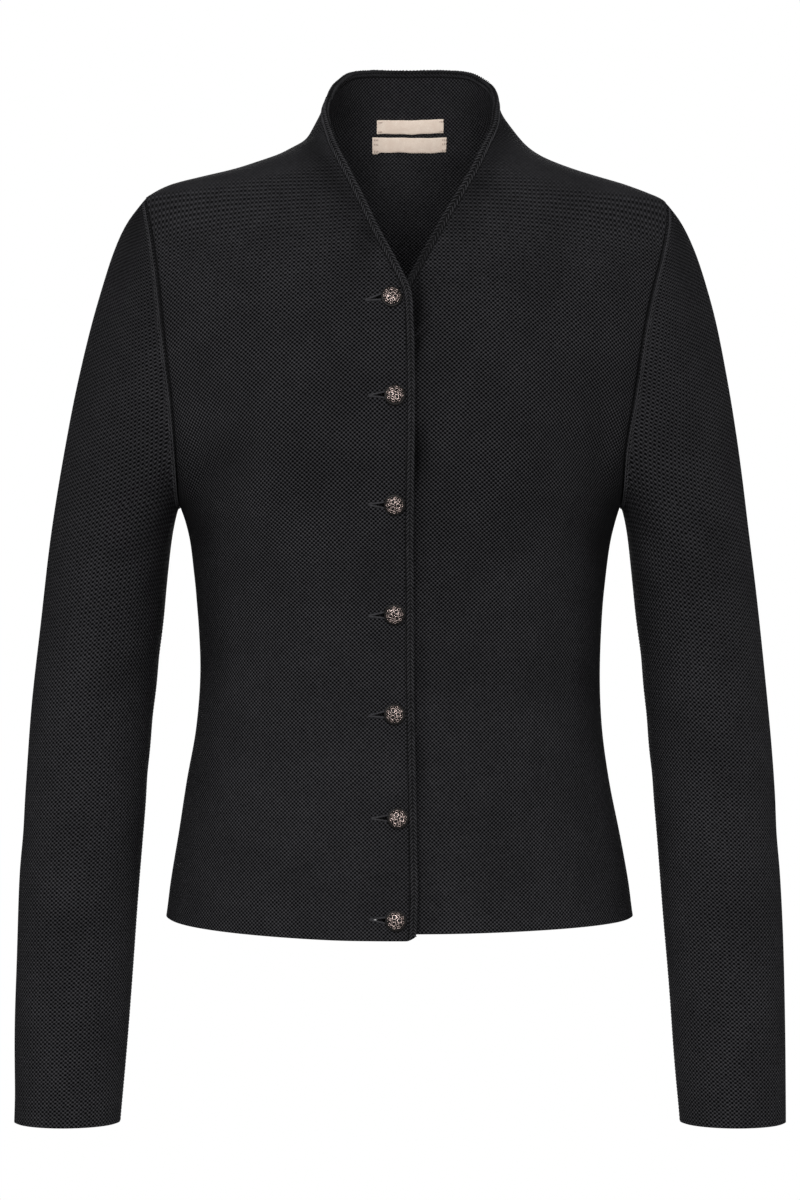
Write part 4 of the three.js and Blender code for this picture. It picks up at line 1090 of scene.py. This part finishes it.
def sleeve_panel(side):
    columns = 132
    angle = np.linspace(-PI, PI, columns + 1)[:-1]
    fine = np.linspace(0, len(SLEEVE_RINGS), 1200)
    probe = sleeve_surface(side, fine, np.array([PI / 2]))[:, 0]
    run = run_along(probe)
    stops = np.concatenate([[0, 0.7, 1.5, 2.4, 3.4, 4.6], np.arange(6.4, run[-1] - 3.2, 2.9),
                            run[-1] - np.array([2.0, 1.2, 0.6, 0])])
    t = np.interp(stops, run, fine)
    outer = sleeve_surface(side, t, angle)
    normal = grid_normals(outer, SIGN[side])
    degrees, height = np.degrees(angle)[None], outer[..., 2]
    sink = sum(trough(((degrees - a0 + 180) % 360 - 180) * DEGREE, height,
                      (0, z0, (a1 - a0) * DEGREE, z1), width, deep)
               for a0, z0, a1, z1, width, deep in SLEEVE_CREASES)
    sink *= 1 - 0.72 * smoothstep(np.abs(degrees), 122, 168)
    sink += 0.5 * unevenness(outer[..., 0] + 300, height)
    sink *= smoothstep(stops, 2, 26)[:, None] * smoothstep(run[-1] - stops, -8, 22)[:, None]
    seam = 0.5 * np.exp(-((180 - np.abs(degrees)) * DEGREE / 1.6) ** 2)
    groove = 0.8 - 0.55 * np.exp(-(degrees / 24) ** 2)
    sink = sink + seam + groove * np.exp(-(stops / 1.2) ** 2)[:, None]
    outer = outer - normal * sink[..., None]
    SLEEVE_LINES[side] = [a[3:-1, 0] for a in (outer, normal, np.roll(outer, -1, 1) - outer)]
    inner = outer - normal * WALL
    inner[0] = sleeve_surface(side, np.zeros(1), angle)[0] - normal[0] * WALL
    place = sleeve_knit(side, np.concatenate([outer, outer[:, :1]], 1))
    tone = np.full(outer.shape[:2], 0.95)
    # Painted shade: darker along the underside of the upper arm and along its outside, more so on the
    # right sleeve, and towards the shoulder
    under = np.clip(1 - np.abs(np.abs(degrees) - 180) / 62, 0, 1)
    far_side = side == "right"
    shade = 0.99 - (0.54 if far_side else 0.34) * under * smoothstep(outer[..., 2], -460, -300)
    shade = shade - (0.30 if far_side else 0.06) * np.exp(-(degrees / 50) ** 2)
    shade = shade - 0.14 * smoothstep(outer[..., 2], -420, -240)
    lines = 0.25 + 0.35 * smoothstep(outer[..., 2], -420, -200)
    if side == "right":
        place = place[:, ::-1]
        outer, inner, tone, lines, shade = (np.roll(a[:, ::-1], 1, 1)
                                            for a in (outer, inner, tone, lines, shade))
    obj = wall(f"cloth_sleeve_{side}", outer, inner, place, tone, lines, KNIT, around=True,
               shade=shade)
    return rides(obj, "knit", f"sleeve_{side}")


# Edge bands

def band_frames(edge, inward, panel):
    turn, z = inset_spot(edge, inward, BAND_WIDTH / 2)
    centre = panel_point(turn, z, panel, 0.0)
    normal = body_normal(turn, z)
    along = edge["along"]
    across = unit(np.cross(normal, along))
    return centre, across, normal, along


def band_core(name, edge, inward, panel, node):
    """The band's rounded strip, a little slimmer than its solid."""
    centre, across, normal, along = band_frames(edge, inward, panel)
    half, low, high = BAND_WIDTH / 2 - 0.45, -BAND_DEPTH - BAND_PROUD + 0.45, BAND_PROUD - 0.45
    corner = 1.0
    section = []
    for cx, cy, start in ((-half + corner, low + corner, PI), (half - corner, low + corner, -PI / 2),
                          (half - corner, high - corner, 0), (-half + corner, high - corner, PI / 2)):
        for k in range(4):
            a = start + k * PI / 6
            section.append((cx + corner * math.cos(a), cy + corner * math.sin(a)))
    section = np.array(section)
    rings = (centre[:, None] + across[:, None] * section[None, :, :1]
             + normal[:, None] * section[None, :, 1:])
    if panel != "back":
        run = run_along(centre)
        rings += along[:, None] * corner_lift(run[:, None], section[None, :, 0] * -inward,
                                              panel)[..., None]
    for end in ((0, -1) if panel == "back" else (-1,)):
        seam = SEAM_GAP / 2 if panel == "back" else -SEAM_GAP / 2
        shift = (seam - rings[end][:, 1:2]) / along[end][1]
        rings[end] = rings[end] + along[end][None] * shift
    n, m = len(rings), len(section)
    i, k = np.meshgrid(np.arange(n - 1), np.arange(m), indexing="ij")
    a, b = i * m + k, i * m + (k + 1) % m
    faces = np.stack([a, b, b + m, a + m], -1).reshape(-1, 4).tolist()
    faces += [tuple(reversed(range(m))), tuple((n - 1) * m + k for k in range(m))]
    # Drawn near-black as painted shade between the band's stitches
    obj = make_object(name, rings.reshape(-1, 3), faces, SEAM)
    return rides(obj, "edge_band", node)


def corner_lift(run, outward, panel):
    """How far the rounded lower corner of a band is drawn up."""
    reach = np.clip((outward + BAND_WIDTH / 2) / BAND_WIDTH, 0, 0.98)
    size = 5.6 if panel == "right" else 2.5
    return 0.2 + size * (1 - np.sqrt(1 - reach ** 2)) * np.clip(1 - run / 11, 0, 1) ** 1.5


# A leg of a knitted V on the band: across, out and along, from its tip to its foot
LEG = np.array([(0.14, 0.40, 1.80), (0.75, 0.56, 1.05), (1.55, 0.50, 0.05),
                (2.10, 0.12, -0.95), (2.32, -0.55, -1.45)])
STITCH_PITCH = 2.5
BAND_LENGTH = {"right": 612, "left": 640, "neck": 215}


def band_stitches(name, edge_of, length, inward, panel):
    """A herringbone of knitted legs on both faces of a band."""
    count = int(length / STITCH_PITCH)
    shares = (np.arange(count) + 0.5) / count
    centre, across, normal, along = band_frames(edge_of(shares), inward, panel)
    local = np.random.default_rng(len(name))
    paths, guides = [], []
    thick = BAND_DEPTH + 2 * BAND_PROUD
    for i in range(count):
        for hand in (-1, 1):
            for face in (1, -1):
                wobble = local.uniform(-0.12, 0.12, 3)
                out = LEG[:, 1] + BAND_PROUD - 0.5
                if face < 0:
                    out = -thick + 0.5 - LEG[:, 1] + BAND_PROUD
                path = (centre[i] + across[i] * (hand * LEG[:, :1] + wobble[0])
                        + normal[i] * out[:, None]
                        + along[i] * (LEG[:, 2:] + wobble[1]))
                if panel != "back":
                    path += along[i] * corner_lift((i + 0.5) * STITCH_PITCH,
                                                   hand * LEG[:, :1] * -inward, panel)
                paths.append(path)
                guides.append(np.tile(normal[i] * face, (len(LEG), 1)))
    verts, faces = tube(paths, np.array([0.27, 0.41, 0.45, 0.41, 0.29]), 6, flat=0.9,
                        normals=guides)
    # The back neck band is drawn darker; the left band carries painted shade towards the foot of the
    # V, under the right front's edge
    shade = np.full(len(verts), 0.7 if panel == "back" else 1.0)
    if panel == "left":
        shade = 0.55 + 0.45 * smoothstep(verts[:, 2], -92, -40)
    return rides(make_object(name, verts, faces, BAND, shade=shade), "edge_band")


# Seams

# Turned-in cloth under the armhole, side and edge seams: depth below the surface, radius
ARMHOLE_CORD, SIDE_CORD, EDGE_CORD = (1.9, 1.15), (1.7, 1.1), (1.55, 1.0)


def chain(path, normal, across, pitch, spread_by, radius):
    """A row of small linked stitches lying along a seam."""
    run = run_along(path)
    count = int(run[-1] / pitch)
    at = (np.arange(count) + 0.5) * run[-1] / count

    def sample(values):
        return np.stack([np.interp(at, run, values[:, k]) for k in range(3)], -1)
    p, n, a = sample(path), unit(sample(normal)), unit(sample(across))
    along = unit(np.gradient(p, axis=0))
    leg = np.array([(0.05, 0.10, 0.62), (0.45, 0.34, 0.25), (0.80, 0.26, -0.20),
                    (1.0, -0.10, -0.50)])
    paths, guides = [], []
    for i in range(count):
        for hand in (-1, 1):
            paths.append(p[i] + a[i] * hand * leg[:, :1] * spread_by + n[i] * leg[:, 1:2]
                         + along[i] * leg[:, 2:] * pitch)
            guides.append(np.tile(n[i], (len(leg), 1)))
    return tube(paths, np.array([0.7, 1.0, 1.0, 0.65]) * radius, 6, flat=0.85, normals=guides)


def merge(parts):
    verts, faces, base = [], [], 0
    for v, f in parts:
        verts.append(v)
        faces += [tuple(base + k for k in face) for face in f]
        base += len(v)
    return np.vstack(verts), faces


def edge_cord(edge, inward, panel):
    """The turned-in cloth under the seam between a panel and its edge band."""
    turn, z = inset_spot(edge, inward, BAND_INSET - SEAM_GAP / 2)
    depth, radius = EDGE_CORD
    return tube([panel_point(turn, z, panel, -depth)], radius, normals=[body_normal(turn, z)])


def seam_details():
    chains, cords = [], []
    for side in ("right", "left"):
        angle = np.linspace(-PI, PI, 241)[:-1]
        surface = sleeve_surface(side, np.array([0.0, 0.12, 0.24]), angle)
        out = grid_normals(surface, SIGN[side])[0]
        depth, radius = ARMHOLE_CORD
        cords.append(tube([surface[0] - out * depth], radius, closed=True, normals=[out]))
        # The chain leaves out the top of the shoulder and the underarm
        for start, end in ((0.22, 2.86), (-2.86, -0.22)):
            angle = np.linspace(start, end, 121)
            surface = sleeve_surface(side, np.array([0.0, 0.12, 0.24]), angle)
            down = unit(surface[2] - surface[0])
            out = unit(np.cross(np.gradient(surface[0], axis=0), down)) * SIGN[side]
            chains.append(chain(surface[0] + down * 2.1 + out * 0.42, out, down, 2.9, 1.2, 0.42))
        depth, radius = SIDE_CORD
        shoulder, top = SHOULDER_POINT[side][1] + 1, collar_panel_top(side) - 1.5
        for low, high, count in ((HEM_SIDE[side] + 1.5, UNDERARM - 2, 150), (shoulder, top, 90)):
            heights = np.linspace(low, high, count)
            quarter = np.full_like(heights, SIGN[side] * PI / 2)
            line, normal = body_point(quarter, heights), body_normal(quarter, heights)
            cords.append(tube([line - normal * depth], radius, normals=[normal]))
        cords.append(edge_cord(front_edge(side, np.linspace(0.0009, 0.997, 420)),
                               -SIGN[side], side))
        line, normal, across = SLEEVE_LINES[side]
        chains.append(chain(line - normal * 0.05, normal, unit(across), 2.4, 0.75, 0.42))
    cords.append(edge_cord(collar_edge(np.linspace(0.003, 0.997, 240)), -1, "back"))
    rides(make_object("seam_stitches", *merge(chains), CHAIN), "edge_band")
    # Near-black as painted shade in the seam gaps
    rides(make_object("seam_allowance", *merge(cords), SEAM), "knit")


# Buttonholes

def buttonhole_lips():
    parts = []
    for (bx, bz), slope in zip(BUTTONS, SLIT_SLOPES):
        x = np.linspace(SLIT_TO + 1.5, SLIT_FROM - 0.7, 26)
        tall = slit_opening(np.minimum(x, SLIT_TO)) + 0.42
        tall[-1] = 0.25
        x, tall = np.concatenate([x, x[::-1]]), np.concatenate([tall, -tall[::-1]])
        z = bz + tall + slit_slope(np.minimum(x, -5.21), slope)
        turn = turn_at(x + bx, z)
        path, normal = panel_point(turn, z, "right", 0.10), body_normal(turn, z)
        parts.append(tube([path], 0.55, bumps=0.28, pitch=0.85, flat=0.8, normals=[normal]))
    rides(make_object("buttonhole_lips", *merge(parts), BAND), "edge_band")


# Buttons

def dome(r, radius=6.0):
    return 2.0 + 3.1 * np.sqrt(np.maximum(1 - (r / radius) ** 2, 0))


def on_dome(x, y, lift=0.0):
    return np.stack([x, y, dome(np.hypot(x, y)) + lift], -1)


def lathe(profile, sides):
    profile = np.array(profile)
    angle = np.arange(sides) * 2 * PI / sides
    verts = np.stack([profile[:, None, 0] * np.cos(angle), profile[:, None, 0] * np.sin(angle),
                      np.repeat(profile[:, 1:], sides, 1)], -1).reshape(-1, 3)
    faces = []
    for i in range(len(profile) - 1):
        for k in range(sides):
            a, b = i * sides + k, i * sides + (k + 1) % sides
            faces.append((a, b, b + sides, a + sides))
    faces.append(tuple(range(sides))[::-1])
    faces.append(tuple((len(profile) - 1) * sides + k for k in range(sides)))
    return verts, faces


def filigree(local):
    """Scrolls, rings and grains over the dome, in the traditional manner."""
    wires = []
    spin = local.uniform(0, 2 * PI)

    def turned(u, v, a):
        return u * math.cos(a) - v * math.sin(a), u * math.sin(a) + v * math.cos(a)

    def wire(x, y, radius, closed):
        guide = np.tile([0, 0, 1.0], (len(x), 1))
        wires.append(tube([on_dome(x, y, 0.02)], radius, 7, closed=closed, normals=[guide]))

    def grain(r, a, size):
        x, y = r * math.cos(a), r * math.sin(a)
        ball, faces = lathe([(size * math.sin(q), size * math.cos(q))
                             for q in np.linspace(3.0, 0.14, 6)], 8)
        wires.append((ball + on_dome(np.array(x), np.array(y), 0.15), faces))

    # Three scrolls with a ring beside each
    ring = np.linspace(0, 2 * PI, 18, endpoint=False)
    for k in range(3):
        lean = spin + k * 2 * PI / 3 + local.uniform(-0.12, 0.12)
        t = np.linspace(-2.5, 5.4, 34)
        size = 1.42 - 0.75 * smoothstep(t, 1.5, 5.4)
        u, v = 2.35 + size * np.cos(t) * 1.1, size * np.sin(t)
        wire(*turned(u, v, lean), 0.29, False)
        a = lean + PI / 3 + local.uniform(-0.1, 0.1)
        wire(3.15 * math.cos(a) + 0.86 * np.cos(ring), 3.15 * math.sin(a) + 0.86 * np.sin(ring),
             0.27, True)
    # A wreath of eight petals with a grain between each two
    for k in range(8):
        a = spin + 0.35 + k * PI / 4 + local.uniform(-0.07, 0.07)
        u, v = 0.74 * np.cos(ring), 0.98 * np.sin(ring)
        wire(*turned(4.72 + u, v, a), 0.27, True)
        grain(5.35, a + PI / 8, 0.32)
    grain(0.0, 0.0, 0.45)
    return merge(wires)


def button_object(index, bx, bz):
    local = np.random.default_rng(100 + index)
    # From the foot of the shank over the rim to the middle of the dome
    foot = -FRONT_LIFT - FRONT_SINK + 0.45 - BUTTON_CLEAR
    ground = lathe([(0.05, foot), (1.1, foot), (1.1, 0.0), (6.4, 0.0), (6.95, 0.25), (7.15, 0.8),
                    (7.1, 1.35), (6.75, 1.62), (6.2, 1.70), (5.8, 1.75)]
                   + [(r, dome(np.array(r)) - 0.42) for r in (5.3, 4.7, 4.0, 3.2, 2.4, 1.6, 0.8)]
                   + [(0.05, dome(np.array(0.0)) - 0.42)], 40)
    wires = filigree(local)
    verts, faces = merge([ground, wires])
    kinds = [1] * len(ground[1]) + [0] * len(wires[1])
    # Height of each wire above the dome, which the metal's colour lights as a painted highlight
    high = smoothstep(verts[:, 2] - dome(np.hypot(verts[:, 0], verts[:, 1])), 0.02, 0.26)
    turn = turn_at(np.array([bx]), np.array([bz]))
    z = np.array([bz], float)
    node_low, node_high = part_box(f"button_{index}")
    along = body_normal(turn, z, folded=False)
    out = along[0]
    level = unit(np.cross([0, 0, 1.0], out))
    up = np.cross(out, level)
    middle = np.array((Vector(node_low) + Vector(node_high)) / 2) / MM
    reach = (foot + 5.2) / 2
    height = np.array([bx - middle[0], 0, bz - middle[2]])
    height[1] = -(height @ out) / out[1]
    place = middle + height - out * reach
    placed = place + verts[:, :1] * level + verts[:, 1:2] * up + verts[:, 2:] * out
    obj = make_object(f"filigree_button_{index}", placed, faces, [SILVER, GROUND],
                      faces_material=kinds)
    write_values(obj.data, "high", high)
    return rides(obj, "button_metal", f"button_{index}")


# Labels

def label_object(name):
    x0, width, top, bottom = LABELS[name]
    upper = name == "label_upper"
    columns, rows = 45, 11
    s = np.linspace(0, 1, columns)[None]
    r = np.linspace(0, 1, rows)[:, None]
    tilt = (0.35 if upper else -0.45) * (0.5 - s)
    wave = 0.22 * np.sin(9 * s + (0.4 if upper else 2.1)) + 0.12 * np.sin(23 * s)
    z = lerp(bottom, top, r) + tilt + wave * (1 - 0.6 * r)
    x = x0 + width * (0.5 - s) + 0 * r
    if not upper:
        z = z - 0.9 * smoothstep(s, 0.90, 0.93) * (1 - r) ** 3
    turn = turn_at(x, z, True)
    turn = np.where(turn < 0, turn + 2 * PI, turn)
    corners = np.exp(-((np.minimum(s, 1 - s)) / 0.04) ** 2)
    pinch = 0.25 * corners * np.exp(-((r - 0.5) / 0.3) ** 2)
    puff = 0.35 * np.sin(PI * s) ** 0.5 * np.sin(PI * r) + 0.15 * np.sin(17 * s) * (1 - r)
    out = -WALL - 0.35 - puff + pinch
    outer = panel_point(turn, z, "back", out)
    inner = panel_point(turn, z, "back", out - LABEL_WALL)
    place = np.stack([x, z + 0 * x], -1)
    plain = np.ones(outer.shape[:2])
    obj = wall(name + "_ribbon", outer, inner, place, plain, plain, CREAM, bulge=0.2)
    rides(obj, "label_cloth", name)
    stitches = []
    for share in (0.03, 0.97):
        for row in (0.12, 0.88) if upper else (0.12, 0.5, 0.88):
            for k in range(3):
                j = int(share * (columns - 1)) + (k - 1)
                i = int(row * (rows - 1))
                j = min(max(j, 0), columns - 1)
                p, q = inner[i, j], inner[min(i + 1, rows - 1), j]
                lift = unit(inner[i, j] - outer[i, j])
                stitches.append(np.array([p - lift * 0.5, p + lift * 0.28,
                                          lerp(p, q, 0.8) + lift * 0.28,
                                          lerp(p, q, 1.1) - lift * 0.5]))
    verts, faces = tube(stitches, 0.2, 6)
    sewn = make_object(name + "_stitches", verts, faces, THREAD)
    return obj, rides(sewn, "label_cloth")


# Build

fronts = {side: front_panel(side) for side in ("right", "left")}
back = back_panel()
sleeves = {side: sleeve_panel(side) for side in ("right", "left")}
bands, stitches = {}, {}
for side in ("right", "left"):
    shares = np.unique(np.concatenate([np.linspace(0, 1, 360), [0.001, 0.002, 0.004]]))
    bands[side] = band_core(f"band_{side}", front_edge(side, shares), -SIGN[side], side,
                            f"edge_band_{side}")
    stitches[side] = band_stitches(f"band_stitches_{side}", lambda s, side=side: front_edge(side, s),
                                   BAND_LENGTH[side], -SIGN[side], side)
bands["neck"] = band_core("band_neck", collar_edge(np.linspace(0, 1, 140)), -1, "back",
                          "edge_band_neck")
stitches["neck"] = band_stitches("band_stitches_neck", collar_edge, BAND_LENGTH["neck"], -1,
                                 "back")
seam_details()
buttonhole_lips()
for index, (bx, bz) in enumerate(BUTTONS, 1):
    button_object(index, bx, bz)
labels = {name: label_object(name) for name in LABELS}

for side in ("right", "left"):
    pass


# Studio

FLOOR_DROP = 960
# Lights: place, size and power, all aimed at the garment's middle
LIGHTS = {"key": ((-0.9, -2.6, 0.9), 0.8, 56), "fill": ((0.7, -2.9, 0.1), 1.2, 40),
          "right_side": ((-2.5, 0.5, 0.3), 1.4, 13), "left_side": ((2.5, 0.5, 0.3), 1.4, 13),
          "back": ((0.0, 2.7, 0.5), 1.6, 62)}
LIGHT_AIM = (0, 0, -0.3)
CAMERA_PLACE = (0, -2.8, -0.310)
SENSOR = 36
# Focal length and height of the picture, in the same pixels
FOCAL_LENGTH, PICTURE_HEIGHT = 4060, 1200


def floor():
    """Pale floor below the hovering garment, softly rounded off at its rim."""
    f = Finish("studio_floor", Specular_IOR_Level=0.2)
    grain = f.noise(40, 4, 0.6)
    colour = f.mix(grain, (0.50, 0.50, 0.50, 1), (0.56, 0.56, 0.56, 1))
    f.finish(colour, f.bump(grain, 0.0002, 0.3), f.ramp(grain, 0, 1, 0.7, 0.8))
    rings = [(0.01, 0), (600, 0), (1200, 0), (1380, -2), (1400, -12), (0.02, -12)]
    verts, faces = lathe(rings, 96)
    verts[:, 2] -= FLOOR_DROP
    obj = make_object("floor", verts, faces, f.material)


def studio():
    scene = bpy.context.scene
    world = bpy.data.worlds.new("studio")
    world.use_nodes = True
    nodes, links = world.node_tree.nodes, world.node_tree.links
    soft, white = nodes["Background"], nodes.new("ShaderNodeBackground")
    for background, strength in ((soft, 0.42), (white, 1)):
        background.inputs["Color"].default_value = (1, 1, 1, 1)
        background.inputs["Strength"].default_value = strength
    seen, mix = nodes.new("ShaderNodeLightPath"), nodes.new("ShaderNodeMixShader")
    for k, socket in enumerate((seen.outputs["Is Camera Ray"], soft.outputs[0], white.outputs[0])):
        links.new(socket, mix.inputs[k])
    links.new(mix.outputs[0], nodes["World Output"].inputs[0])
    scene.world = world
    scene.view_settings.view_transform = "Standard"
    scene.view_settings.look = "None"
    for name, (at, size, energy) in LIGHTS.items():
        light = bpy.data.lights.new(name, "AREA")
        light.size, light.energy = size, energy
        lamp = bpy.data.objects.new(name, light)
        lamp.location = at
        lamp.visible_camera = False
        aim = Vector(LIGHT_AIM) - Vector(at)
        lamp.rotation_euler = aim.to_track_quat("-Z", "Y").to_euler()
        scene.collection.objects.link(lamp)
    camera = bpy.data.objects.new("camera", bpy.data.cameras.new("camera"))
    camera.data.sensor_width = SENSOR
    camera.data.lens = SENSOR * FOCAL_LENGTH / PICTURE_HEIGHT
    camera.location = CAMERA_PLACE
    camera.rotation_euler = (PI / 2, 0, 0)
    camera.data.clip_end = 50
    scene.collection.objects.link(camera)
    scene.camera = camera


floor()
studio()
